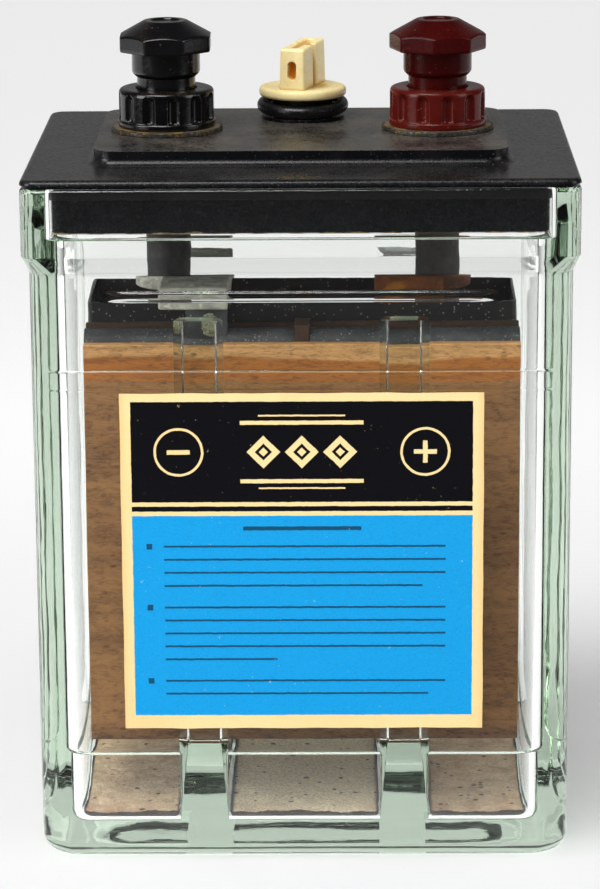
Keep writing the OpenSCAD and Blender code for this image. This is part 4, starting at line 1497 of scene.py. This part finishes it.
@dataclass
class Terminal:
    """One terminal: washer, lock nut, knob, and the metal that they screw on."""

    pole: Pole
    head_turn: float
    neck_r: float = 7.7
    spigot_r: float = 6.6
    head_across: float = 20.3
    head_side: float = 3.8
    head_cone: float = 3.0
    flat_r: float = 4.8
    recess_r: float = 3.2
    recess_deep: float = 0.4
    neck_height: float = 5.8
    nut_height: float = 8.6
    nut_r: float = 10.75
    band_height: float = 1.5
    nut_turn: float = -4.0
    flutes: int = 12
    flute_r: float = 1.6
    flute_deep: float = 0.9

    def __post_init__(self) -> None:
        """Take the axis and the heights from the CAD nodes."""
        name = self.pole.value
        low, high = box_mm(f"{name}_washer")
        self.centre = (float(low[0] + high[0]) / 2, 0.0)
        self.washer_low, self.washer_high = low[2], high[2]
        self.washer_r = (high[0] - low[0]) / 2
        low, high = box_mm(f"{name}_knob")
        self.knob_low, self.knob_high = low[2], high[2]
        low, high = box_mm(f"{name}_lock_nut")
        self.nut_low = low[2]

    def octagon(self, angle: Array) -> Array:
        """Radius of a soft-cornered octagon: the half width over a high mean of eight cosines.

        Args:
            angle: Angles round the axis.

        Returns:
            The radius at each angle.
        """
        facing = angle[:, None] - math.radians(self.head_turn + 22.5) - np.arange(8) * np.pi / 4
        power = 90.0
        mean = (np.clip(np.cos(facing), 0, None) ** power).sum(axis=1) ** (1 / power)
        return self.head_across / 2 / mean

    def knob_points(self) -> Sheet:
        """The knob: a turned profile whose head is cut by the octagon.

        The radius is the smaller of the turned radius and the octagon's.

        Returns:
            The points and the quads.
        """
        top = self.knob_high
        head_low = top - self.head_cone - self.head_side
        neck_low = head_low - self.neck_height
        slope = (self.head_across / 2 - self.flat_r) / self.head_cone
        wide = 12.5
        cone_z = top - (wide - self.flat_r) / slope
        corners = [
            (0.0, self.knob_low, 0), (self.spigot_r, self.knob_low, 0.3), (self.spigot_r, neck_low, 0.3),
            (self.neck_r - 0.9, neck_low, 0.3), (self.neck_r, neck_low + 0.9, 0.5),
            (self.neck_r, head_low, 0.4), (wide, head_low, 0.2), (wide, cone_z, 0.0),
            (self.flat_r, top, 0.35), (self.recess_r + 0.2, top, 0.25),
            (self.recess_r, top - self.recess_deep, 0.25), (0.0, top - self.recess_deep, 0)]
        profile = self.refined(rounded_path(corners, 5), 0.45)
        angle = np.linspace(0, 2 * np.pi, 240, endpoint=False)
        turned = profile[:, :1] * np.ones_like(angle)
        limit = self.octagon(angle)[None, :] * np.ones_like(turned)
        low_edge = np.clip((profile[:, 1:] - head_low) / 0.5, 0, 1)
        limit = limit - 0.35 * (1 - np.sqrt(1 - (1 - low_edge) ** 2))
        radius = soft_least(turned, limit, 0.12)
        radius = np.where(turned > self.flat_r, radius, turned)
        radius = np.where(turned < self.flat_r - 0.5, turned, radius)
        return ring_stack(radius, profile[:, 1:], angle, self.centre)

    @staticmethod
    def refined(path: Array, step: float) -> Array:
        """Add points along a path so that none lie further apart than a step.

        Args:
            path: The points of the path.
            step: The longest step, in millimetres.

        Returns:
            The points of the finer path.
        """
        pieces = []
        for start, end in zip(path[:-1], path[1:]):
            count = max(1, int(np.ceil(np.linalg.norm(end - start) / step)))
            t = np.linspace(0, 1, count + 1)[:-1, None]
            pieces.append(start + (end - start) * t)
        pieces.append(path[-1:])
        return join(pieces)

    def nut_points(self) -> Sheet:
        """The lock nut: a turned profile with round-bottomed flutes that end in a quarter ball.

        In a flute the radius is that of the near side of a circle that stands outside the nut.

        Returns:
            The points and the quads.
        """
        low = self.nut_low
        top = low + self.nut_height
        corners = [
            (5.2, low, 0), (self.nut_r + 0.1, low, 0.3), (self.nut_r + 0.25, low + 0.4, 0.3),
            (self.nut_r + 0.25, low + self.band_height - 0.25, 0.25),
            (self.nut_r, low + self.band_height, 0.2), (self.nut_r, top, 1.2),
            (self.spigot_r + 0.3, top, 0.35), (self.spigot_r + 0.3, top - 2.5, 0.3),
            (5.2, top - 2.5, 0.2), (5.2, low, 0)]
        profile = self.refined(rounded_path(corners, 6), 0.4)
        angle = np.linspace(0, 2 * np.pi, 24 * self.flutes, endpoint=False)
        turned = profile[:, :1] * np.ones_like(angle)
        pitch = 2 * np.pi / self.flutes
        off = np.mod(angle - math.radians(self.nut_turn), pitch) - pitch / 2
        middle = self.nut_r - self.flute_deep + self.flute_r
        flute_top = top - 0.7 - self.flute_r
        flute_low = low + self.band_height + 0.3
        above = np.clip(profile[:, 1:] - flute_top, 0, None)
        below = np.clip(flute_low - profile[:, 1:], 0, None) * 4
        round_r = np.clip(self.flute_r ** 2 - above ** 2 - below ** 2, 0, None)
        chord = round_r - (middle * np.sin(off)) ** 2
        cut = middle * np.cos(off) - np.sqrt(np.clip(chord, 0, None))
        inside = (chord > 0) & (turned > self.nut_r - 2.4)
        radius = np.where(inside, np.minimum(turned, cut), turned)
        return ring_stack(radius, profile[:, 1:], angle, self.centre)

    def washer_points(self) -> MarkedSheet:
        """The washer: a flat ring with rolled edges, ochre beside the nut and painted shade at its rim.

        Returns:
            The points, the quads, the angle of its sharp edges and the marks for its finish.
        """
        low, high = self.washer_low, self.washer_high
        corners = [
            (3.3, low, 0), (self.washer_r, low, 0.2), (self.washer_r, high, 0.35), (12.1, high, 0),
            (11.9, high, 0), (11.5, high, 0), (11.2, high, 0), (10.8, high, 0), (3.3, high, 0.2),
            (3.3, low, 0)]
        profile = rounded_path(corners, 5)
        points, quads = lathe(profile, self.centre, 180)
        reach = np.repeat(profile[:, 0], 180)
        # The ochre is a real stain beside the nut; the second mark paints shade on the rolled rim.
        marks = {"ochre": smooth_step(reach, 11.6, 11.1), "painted_shade": smooth_step(reach, 11.9, 12.3)}
        return points, quads, 35.0, marks

    def build(self, finishes: Finishes) -> None:
        """Build the terminal's pieces and dress them.

        Args:
            finishes: The materials.
        """
        name = self.pole.value
        plastic = finishes.black if self.pole is Pole.NEGATIVE else finishes.red
        slot = "black_moulding" if self.pole is Pole.NEGATIVE else "red_moulding"
        knob = make_piece(f"{name}_octagon_knob", *self.knob_points(), sharp=55.0)
        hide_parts(f"{name}_knob")
        dress(knob, plastic, f"{name}_knob_moulding", slot)
        nut = make_piece(f"{name}_fluted_nut", *self.nut_points(), sharp=55.0)
        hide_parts(f"{name}_lock_nut")
        dress(nut, finishes.nuts[self.pole], f"{name}_nut_moulding", slot)
        washer = make_piece(f"{name}_flat_washer", *self.washer_points())
        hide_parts(f"{name}_washer")
        dress(washer, finishes.washer, "cell", "washer_metal")
        for part in ("knob_insert", "nut_insert"):
            dress_node(f"{name}_{part}", finishes.brass)
        fixed = (("stud", "brass_stud", 0.15, finishes.brass, "stud_brass"),
                 ("post", "lead_post", 0.2, finishes.post, "lead"),
                 ("bush", "rubber_bush", 0.25, finishes.rubber, "rubber"))
        for part, new, bevel, metal, surface in fixed:
            dress(softened(f"{name}_{part}", f"{name}_{new}", bevel), metal, "cell", surface)


@dataclass
class VentPlug:
    """The pull-out vent plug with its loose rubber ring."""

    body: str = "vent"
    grip_length: float = 16.0
    grip_width: float = 6.1
    grip_height: float = 10.0
    lobe_length: float = 6.9
    web_width: float = 3.3
    grip_turn: float = -18.0
    grip_edge: float = 0.65
    grip_draft: float = 0.005
    grip_fall: float = 0.035
    groove_deep: float = 0.6
    slot_deep: float = 2.4
    disc_r: float = 10.0
    disc_thick: float = 2.3
    stem_r: float = 6.8
    stem_wall: float = 1.6
    ring_r: float = 9.0
    ring_thick: float = 3.0
    ring_tilt: float = 4.0

    def __post_init__(self) -> None:
        """Take the place from the CAD nodes."""
        low, high = box_mm("vent_plug")
        self.centre = (float(low[0] + high[0]) / 2, float(low[1] + high[1]) / 2)
        self.stem_low = low[2]
        self.disc_top = high[2] - self.grip_height
        low, high = box_mm("vent_plug_ring")
        self.ring_middle = (low[2] + high[2]) / 2

    def disc_points(self) -> tuple[Array, Array, Array, Array]:
        """The disc with its hollow stem, as one turned profile.

        Returns:
            The points, the quads, the painted brown shade round the grip's foot and the painted shade on
            the stem.
        """
        top = self.disc_top
        low = top - self.disc_thick
        inner = self.stem_r - self.stem_wall
        corners = [
            (0.0, low, 0), (inner, low, 0.4), (inner, self.stem_low, 0.2),
            (self.stem_r, self.stem_low, 0.4), (self.stem_r, low, 0.5), (8.0, low, 0),
            (self.disc_r, low, 1.0), (self.disc_r, top, 1.15), (7.2, top, 0.6), (6.8, top - 0.12, 0.3),
            (5.6, top - 0.11, 0), (4.4, top - 0.1, 0), (3.2, top - 0.09, 0), (0.0, top - 0.05, 0)]
        profile = rounded_path(corners, 7)
        points, quads = lathe(profile, self.centre, 160)
        angle = np.linspace(0, 2 * np.pi, 160, endpoint=False)
        reach, height = profile[:, :1], profile[:, 1:]
        on_top = height > top - 0.3
        spots = 0.5 + 0.5 * wander(12, 3 * np.cos(angle) + reach * 0.8, 3 * np.sin(angle) - reach * 0.6)
        # Painted brown shade, uneven, round the grip's foot on the disc's top.
        stain = on_top * smooth_step(reach, 7.6, 3.4) * np.clip(spots, 0, 1) * 0.8
        # Painted shade, near black, on the stem and the disc's underside next to it.
        painted_shade = (height < low + 0.02) * smooth_step(reach, 9.3, 8.2) * np.ones_like(angle)
        return points, quads, stain, painted_shade

    def grip_outline(self) -> Array:
        """The grip seen from above: two lobes with a narrower web between them, at equal steps.

        Returns:
            The points of its outline.
        """
        wide, end = self.grip_width / 2, self.grip_length / 2
        web, inner = self.web_width / 2, end - self.lobe_length
        turn, edge = 0.5, 0.8
        corners = [(web, 0.0, 0.0)]
        for side, order in ((1, 1), (-1, -1)):
            corners += [(order * web, side * inner, turn), (order * wide, side * inner, turn),
                        (order * wide, side * end, edge), (-order * wide, side * end, edge),
                        (-order * wide, side * inner, turn), (-order * web, side * inner, turn)]
        return evened(rounded_path(corners + [(web, 0.0, 0.0)], 6), 440)

    def grip_points(self) -> tuple[Array, Array, Array]:
        """The finger grip: its outline carried upward with a slight draft and drawn in at its edges.

        The cap's rows keep their places along the grip and close in on its middle line. A round
        ended groove is sunk in the cap and an oval slot in each end.

        Returns:
            The points, the quads and how deep each point lies in a hollow, which the finish turns into
            painted shade and the slots' painted glow.
        """
        plan = self.grip_outline()
        normal = outward(plan)
        edge = self.grip_edge
        heights = join([[-0.3, 0.0], np.arange(0.15, self.grip_height - edge, 0.15)])
        a = np.linspace(0, np.pi / 2, 6)
        z = join([heights, self.grip_height - edge + edge * np.sin(a)])[:, None]
        inset = join([0 * heights, edge * (1 - np.cos(a))])[:, None]
        draw = 1 - self.grip_draft * np.clip(z, 0, None)
        x = (plan[:, 0] - normal[:, 0] * inset) * draw
        y = (plan[:, 1] - normal[:, 1] * inset) * draw
        limit = np.array([2.2, 1.8, 1.45, 1.2, 1.05, 0.95, 0.88, 0.8, 0.6, 0.3, 0.0])[:, None]
        cap_x = np.sign(x[-1]) * np.minimum(np.abs(x[-1]), limit)
        cap_y = y[-1] * np.ones_like(limit)
        reach = np.hypot(cap_x, np.clip(np.abs(cap_y) - self.grip_length / 2 + 3.0, 0, None))
        sunk = smooth_step(reach, 1.02, 0.76)
        off = np.hypot(x, np.clip(np.abs(z - self.grip_height * 0.47) - 1.2, 0, None))
        hole = smooth_step(off, 1.06, 0.86) * (np.abs(plan[:, 1]) > self.grip_length / 2 - 0.1)
        y = y - np.sign(y) * self.slot_deep * hole
        x = join([x, cap_x])
        y = join([y, cap_y])
        z = join([z * np.ones_like(hole), self.grip_height - self.groove_deep * sunk])
        gap = self.grip_length / 2 - self.lobe_length
        web = smooth_step(np.abs(plan[:, 1]), gap + 0.5, gap - 0.4)
        foot = 0.5 * np.exp(-np.clip(z[:len(off)], 0, None) / 0.5)
        # Painted shade: 0.42 in the web's groove, up to 0.5 at the grip's foot, up to 0.5 in the top
        # groove; 1 in the slots, where it paints an amber glow.
        mark = join([np.maximum(hole, np.maximum(0.42 * web, foot)), 0.5 * sunk])
        z = z * (1 - self.grip_fall * (1 - y / (self.grip_length / 2)))
        turn = math.radians(self.grip_turn)
        across = self.centre[0] + x * math.cos(turn) - y * math.sin(turn)
        deep = self.centre[1] + x * math.sin(turn) + y * math.cos(turn)
        points = np.stack([across, deep, self.disc_top + z], axis=-1)
        foot_row = np.broadcast_to(points[:1].mean(axis=1, keepdims=True), points[:1].shape)
        points = join([foot_row, points])
        mark = join([mark[:1], mark])
        return points.reshape(-1, 3), grid_faces(*mark.shape, closed=True), mark

    def ring_points(self) -> Sheet:
        """The loose ring: a circle carried round a larger tilted circle.

        Returns:
            The points and the quads.
        """
        u = np.linspace(0, 2 * np.pi, 128, endpoint=False)[:, None]
        v = np.linspace(0, 2 * np.pi, 28, endpoint=False)[None, :]
        reach = self.ring_r + self.ring_thick / 2 * np.cos(v)
        x = reach * np.cos(u)
        y = reach * np.sin(u)
        z = self.ring_thick / 2 * np.sin(v) * np.ones_like(u)
        tilt = math.radians(self.ring_tilt)
        world = np.stack([
            self.centre[0] + x, self.centre[1] + y * math.cos(tilt) - z * math.sin(tilt),
            self.ring_middle + y * math.sin(tilt) + z * math.cos(tilt)], axis=-1)
        world = join([world, world[:1]])
        return world.reshape(-1, 3), grid_faces(129, 28, closed=True)

    def build(self, finishes: Finishes) -> None:
        """Build the plug and its ring and dress them.

        Args:
            finishes: The materials.
        """
        disc, disc_quads, stain, painted_shade = self.disc_points()
        grip, grip_quads, hollow = self.grip_points()
        points = join([disc, grip])
        quads = join([disc_quads, grip_quads + len(disc)])
        # Both marks carry painted shade; hollow also carries the slots' painted glow.
        marks = {"hollow": join([stain.ravel(), hollow.ravel()]),
                 "painted_shade": join([painted_shade.ravel(), np.zeros(len(grip))])}
        plug = make_piece("ivory_vent_plug", points, quads, 60.0, marks)
        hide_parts("vent_plug")
        dress(plug, finishes.ivory, self.body, "vent_moulding")
        ring = make_piece("loose_rubber_ring", *self.ring_points())
        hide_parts("vent_plug_ring")
        dress(ring, finishes.rubber, self.body, "rubber")


@dataclass
class PlatePack:
    """Boards, plates, separators, envelope and straps inside the jar."""

    body: str = "cell"

    def build(self, finishes: Finishes) -> None:
        """Round the edges of each layer and dress it.

        Args:
            finishes: The materials.
        """
        layers = {
            "guard_board": (finishes.board, "guard_wood", 0.35),
            "negative_plate": (finishes.lead, "lead", 0.25),
            "spacer_strip": (finishes.veneer, "thin_wood", 0.2),
            "wood_separator": (finishes.veneer, "thin_wood", 0.2),
        }
        for part, (finish, slot, bevel) in layers.items():
            for side in ("front", "rear"):
                piece = softened(f"{side}_{part}", f"{side}_{part}_worn", bevel)
                dress(piece, finish, self.body, slot)
        singles = {
            "ebonite_envelope": (finishes.ebonite, "ebonite", 0.2),
            "positive_plate": (finishes.peroxide, "lead_peroxide", 0.25),
            "negative_strap": (finishes.strap, "lead", 0.5),
            "positive_strap": (finishes.peroxide, "lead_peroxide", 0.5),
        }
        for part, (finish, slot, bevel) in singles.items():
            dress(softened(part, f"{part}_worn", bevel), finish, self.body, slot)


@dataclass
class SedimentBed:
    """Dried sediment in the three wells: a shallow pan in each, with a film up its edge."""

    body: str = "cell"
    rib_near: float = 16.9
    rib_far: float = 28.1
    side_gap: float = 1.5
    corner: float = 4.0
    rib_side: float = 0.8
    edge: float = 2.5
    depth: float = 1.75
    count: int = 240

    def __post_init__(self) -> None:
        """Take the outer size from the CAD node."""
        low, high = box_mm("sediment_bed")
        self.floor = low[2]
        self.half_width, self.half_depth = high[0] - self.side_gap, high[1]

    def outline(self, left: float, right: float, inset: float) -> Array:
        """A pan seen from above: a box whose corners at the jar's sides are rounder."""
        radii = [max((self.corner if abs(x) > self.rib_far + 1 else self.rib_side) - inset, 0.3)
                 for x in (left, right)]
        return box_outline(left + inset, right - inset, self.half_depth - inset, radii, self.count)

    def pan(self, left: float, right: float) -> Sheet:
        """One pan, from the middle of its underside round its edge to the middle of its top.

        The underside turns up in a quarter circle, the film stands up along the glass by an uneven
        amount, and the top wanders by about a quarter of a millimetre.

        Args:
            left: Its left side.
            right: Its right side.

        Returns:
            The points, by row, and how much each one belongs to the edge.
        """
        a = np.linspace(0, 1.35, 7)
        under = [(self.edge * (1 - math.sin(t)), self.floor + self.edge * (1 - math.cos(t)), 1.0, 0.0)
                 for t in a]
        top = self.floor + self.depth
        over = [(0.06, top, 1.0, 1.0), (0.3, top, 0.95, 1.0), (0.5, top, 0.8, 0.0), (0.9, top, 0.5, 0.0),
                (1.7, top, 0.22, 0.0), (2.6, top, 0.05, 0.0)]
        rows, edges = [], []
        middle = np.array([(left + right) / 2, 0.0])
        for share in (0.0, 0.5):
            flat = middle + (self.outline(left, right, self.edge) - middle) * share
            rows.append(np.column_stack([flat, np.full(self.count, self.floor)]))
            edges.append(np.zeros(self.count))
        for inset, z, mark, film in under + over:
            flat = self.outline(left, right, inset)
            rise = film * (0.65 + 0.45 * wander(7, flat[:, 0] * 0.9, flat[:, 1] * 0.9))
            rows.append(np.column_stack([flat, z + rise]))
            edges.append(np.full(self.count, mark))
        inner = rows[-1][:, :2]
        for share in (0.94, 0.88, 0.8, 0.7, 0.6, 0.45, 0.3, 0.15, 0.0):
            flat = middle + (inner - middle) * share
            lift = 0.2 * wander(9, flat[:, 0] * 0.35, flat[:, 1] * 0.35)
            rows.append(np.column_stack([flat, top + lift]))
            edges.append(np.zeros(self.count))
        return np.stack(rows), np.stack(edges)

    def build(self, finishes: Finishes) -> None:
        """Build the three pans as one piece and dress it.

        Args:
            finishes: The materials.
        """
        spans = ((-self.half_width, -self.rib_far), (-self.rib_near, self.rib_near),
                 (self.rib_far, self.half_width))
        points, quads, edges, lights = [], [], [], []
        start = 0
        for left, right in spans:
            rows, edge = self.pan(left, right)
            points.append(rows.reshape(-1, 3))
            quads.append(grid_faces(*edge.shape, closed=True, start=start))
            edges.append(edge.ravel())
            # Painted light: the middle pan is made paler than the side pans.
            lights.append(np.full(edge.size, 1.0 if left + right == 0 else 0.15))
            start += edge.size
        places = join(points)
        patches = 0.5 + 0.5 * wander(15, places[:, 0] * 0.5, places[:, 1] * 0.5)
        rust = smooth_step(places[:, 1], -25.0, -self.half_depth) * np.clip(patches, 0, 1)
        piece = make_piece("sediment_bed_worn", places, join(quads), 50.0,
                           {"edge": join(edges), "light": join(lights), "rust": rust})
        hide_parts("sediment_bed")
        dress(piece, finishes.sediment, self.body, "sediment")


@dataclass
class Deposits:
    """Sulphate that has crept out at the front lug, and a dried line of acid on the lid's skirt."""

    body: str = "cell"
    lump_at: tuple[float, float, float] = (-20.4, -27.75, 120.7)
    lump_half: tuple[float, float, float] = (2.1, 0.75, 2.6)
    skirt_half: tuple[float, float] = (54.8, 41.2)
    skirt_corner: float = 3.0
    skirt_foot: float = 143.5
    film: float = 0.15

    def lump(self) -> MarkedSheet:
        """A lumpy ball: its half sizes times one plus a wander of the two angles.

        Returns:
            The points, the quads, the angle of its sharp edges and the mark for its finish.
        """
        a = np.linspace(0, np.pi, 60)[:, None]
        b = np.linspace(0, 2 * np.pi, 90, endpoint=False)[None, :]
        x, y, z = np.sin(a) * np.cos(b), np.sin(a) * np.sin(b), np.cos(a) * np.ones_like(b)
        rough = 0.82 + 0.17 * wander(21, 4 * x, 4 * y, 4 * z) + 0.12 * wander(22, 14 * x, 14 * y, 14 * z)
        unit = np.stack([x, y, z], axis=-1) * np.clip(rough, 0.5, 1.05)[..., None]
        points = unit * np.array(self.lump_half) + np.array(self.lump_at)
        # Painted shade: the dents, where the ball falls short of its size, take the dark rim colour.
        edge = np.clip(0.82 - rough, 0, 1) * 5
        return points.reshape(-1, 3), grid_faces(60, 90, closed=True), 60.0, {"edge": np.clip(edge, 0, 1)}

    def line(self) -> MarkedSheet:
        """A thin ribbon round the skirt's foot whose upper edge wanders.

        Returns:
            The points, the quads, the angle of its sharp edges and the mark for its finish.
        """
        half_w, half_d = self.skirt_half
        inner = box_outline(-half_w, half_w, half_d, [self.skirt_corner] * 2, 900)
        outer = inner + outward(inner) * self.film
        rise = (0.05 + 0.4 * wander(31, inner[:, 0] * 0.22, inner[:, 1] * 0.22)
                + 0.3 * wander(32, inner[:, 0] * 1.3, inner[:, 1] * 1.3))
        low = np.full(len(inner), self.skirt_foot)
        high = low + np.clip(rise, 0.03, 0.8)
        walk = ((inner, low, 0.2), (outer, low, 0.2), (outer, high, 0.9), (inner, high, 0.9),
                (inner, low, 0.2))
        points = np.stack([np.column_stack([path, height]) for path, height, _ in walk])
        edge = np.stack([np.full(len(inner), mark) for _, _, mark in walk])
        return points.reshape(-1, 3), grid_faces(*edge.shape, closed=True), 35.0, {"edge": edge}

    def build(self, finishes: Finishes) -> None:
        """Build both deposits and dress them.

        Args:
            finishes: The materials.
        """
        dress(make_piece("sulphate_lump", *self.lump()), finishes.crust, self.body, "sediment")
        dress(make_piece("dried_acid_line", *self.line()), finishes.stain, self.body, "sediment")


@dataclass
class Lid:
    """The moulded lid and the bead of compound that seals it."""

    body: str = "cell"
    rim_width: float = 1.2
    skirt_top: float = 144.5
    flange_low: float = 155.5
    platform_low: float = 159.8

    def rounding(self, middles: Array) -> Array:
        """Share of the lid's rounding at each edge: most on the flange's rolled upper rim.

        Args:
            middles: The edges' middles, in millimetres.

        Returns:
            The share at each edge, 0 to 1.
        """
        half_w, half_d = box_mm("lid")[1][:2]
        x, y, z = middles.T
        outer = np.maximum(np.abs(x) - half_w, np.abs(y) - half_d) > -self.rim_width
        share = np.where(z < self.skirt_top, 0.5, 0.06)
        share = np.where(z > self.platform_low, 0.2, share)
        return np.where(outer & (z > self.flange_low), 1.0, share)

    def build(self, finishes: Finishes) -> None:
        """Round the lid's edges and dress lid and compound.

        Args:
            finishes: The materials.
        """
        lid = softened("lid", "moulded_lid", 1.2, 28.0, self.rounding)
        dress(lid, finishes.lid, self.body, "lid_moulding")
        dress(softened("sealing_compound", "compound_bead", 0.2), finishes.compound, self.body, "compound")


@dataclass
class Studio:
    """Floor, lamps, surroundings and camera."""

    focal: float = 148.05
    camera_at: tuple[float, float, float] = (9.6, -819.0, 297.0)
    tilt: float = 75.51
    yaw: float = 0.74
    roll: float = -0.40
    floor_half: float = 3.2
    table_edge: float = -0.10
    lit_tone: float = 0.72
    seen_tone: float = 0.56
    mirrored_tone: float = 0.8
    table_tone: float = 0.07

    def build(self) -> None:
        """Build the whole studio."""
        scene = bpy.context.scene
        scene.view_settings.view_transform = "Standard"
        scene.cycles.max_bounces = 24
        scene.cycles.transmission_bounces = 24
        scene.cycles.transparent_max_bounces = 24
        scene.cycles.glossy_bounces = 8
        self.build_floor()
        self.build_world()
        self.build_lamps()
        self.build_camera()

    def build_floor(self) -> None:
        """A wide level floor that stays near white and keeps the object's shadow."""
        half, level = self.floor_half, -0.05 * MM
        corners = [(-half, -half, level), (half, -half, level), (half, half, level), (-half, half, level)]
        mesh = bpy.data.meshes.new("floor")
        mesh.from_pydata(corners, [], [(0, 1, 2, 3)])
        floor = bpy.data.objects.new("floor", mesh)
        bpy.context.scene.collection.objects.link(floor)
        material, graph, end = open_material("pale_floor")
        place = graph.place()
        far = graph.axis(place, "Y")
        path = graph.add("ShaderNodeLightPath")
        shade = graph.plus(graph.spread(far, 0.05, 0.4, 0.15, 0.37),
                           graph.spread(far, 0.4, 1.5, 0.0, 0.13))
        seen = self.glowing(graph, self.seen_tone, shade)
        plain = graph.blend(path.outputs["Is Camera Ray"], graph.grey(self.lit_tone), seen)
        bright = self.glowing(graph, self.mirrored_tone, graph.spread(far, 0.1, 1.5, 0.26, 0.42))
        table = graph.spread(far, self.table_edge - 0.05, self.table_edge + 0.05)
        mirrored = graph.blend(table, graph.grey(self.table_tone), bright)
        whole = graph.blend(path.outputs["Is Glossy Ray"], plain, mirrored)
        graph.link(whole, end)
        floor.data.materials.append(material)

    @staticmethod
    def glowing(graph: Graph, tone: float, strength: Socket) -> Socket:
        """A grey diffuse surface of the given tone with a glow of its own."""
        glow = graph.add("ShaderNodeEmission", {"Strength": strength}).outputs[0]
        return graph.add("ShaderNodeAddShader", {0: graph.grey(tone), 1: glow}).outputs[0]

    def build_world(self) -> None:
        """Pale surroundings behind, dim in front, so that glass shows grey and black stays black."""
        world = bpy.data.worlds.new("surroundings")
        world.use_nodes = True
        world.node_tree.nodes.clear()
        graph = Graph(world.node_tree)
        end = graph.add("ShaderNodeOutputWorld")
        path = graph.add("ShaderNodeLightPath")
        way = graph.add("ShaderNodeTexCoord").outputs["Generated"]
        depth = graph.axis(way, "Y")
        strengths = {"Is Glossy Ray": graph.spread(depth, 0.45, 0.97, 0.03, 0.25),
                     "Is Transmission Ray": graph.spread(depth, -0.4, 0.7, 0.2, 0.88),
                     "Is Camera Ray": 0.95}
        white = (1.0, 1.0, 1.0, 1.0)
        whole = graph.add("ShaderNodeBackground", {"Color": white, "Strength": 0.42}).outputs[0]
        for ray, strength in strengths.items():
            light = graph.add("ShaderNodeBackground", {"Color": white, "Strength": strength})
            whole = graph.blend(path.outputs[ray], whole, light.outputs[0])
        graph.link(whole, end)
        bpy.context.scene.world = world

    def add_lamp(self, name: str, at: tuple[float, float, float], size: tuple[float, float],
                 power: float) -> None:
        """Hang a soft rectangular lamp that faces the object.

        Args:
            name: Name of the lamp.
            at: Its place in metres.
            size: Its width and height in metres.
            power: Its power in watts.
        """
        data = bpy.data.lights.new(name, "AREA")
        data.shape = "RECTANGLE"
        data.size, data.size_y = size
        data.energy = power
        lamp = bpy.data.objects.new(name, data)
        lamp.location = at
        aim = Vector((0, 0, 0.09)) - Vector(at)
        lamp.rotation_euler = aim.to_track_quat("-Z", "Y").to_euler()
        bpy.context.scene.collection.objects.link(lamp)

    def build_lamps(self) -> None:
        """Soft lamps at the left, at the right and above in front."""
        self.add_lamp("key_softbox", (-0.35, -0.55, 1.25), (0.8, 0.6), 14.5)
        self.add_lamp("left_softbox", (-1.0, -0.55, 0.5), (0.5, 0.8), 9.4)
        self.add_lamp("right_softbox", (1.0, -0.45, 0.55), (0.5, 0.8), 4.9)

    def build_camera(self) -> None:
        """The camera at the photograph's viewing angle."""
        data = bpy.data.cameras.new("camera")
        data.lens = self.focal
        data.sensor_width = 36.0
        camera = bpy.data.objects.new("camera", data)
        camera.location = [c * MM for c in self.camera_at]
        yaw, tilt, roll = [Matrix.Rotation(math.radians(angle), 3, axis)
                           for angle, axis in ((self.yaw, "Z"), (self.tilt, "X"), (self.roll, "Z"))]
        camera.rotation_euler = (yaw @ tilt @ roll).to_euler()
        bpy.context.scene.collection.objects.link(camera)
        bpy.context.scene.camera = camera


def main() -> None:
    """Build the studio and every sub-assembly in order."""
    logging.basicConfig(level=logging.INFO, format="%(message)s")
    Studio().build()
    finishes = Finishes(Effects(), box_mm("front_label"))
    GlassJar().build(finishes.glass)
    PaperLabel().build(finishes.label)
    Lid().build(finishes)
    Terminal(Pole.NEGATIVE, 22.5).build(finishes)
    Terminal(Pole.POSITIVE, -5.0).build(finishes)
    VentPlug().build(finishes)
    PlatePack().build(finishes)
    SedimentBed().build(finishes)
    Deposits().build(finishes)


if __name__ == "__main__":
    main()
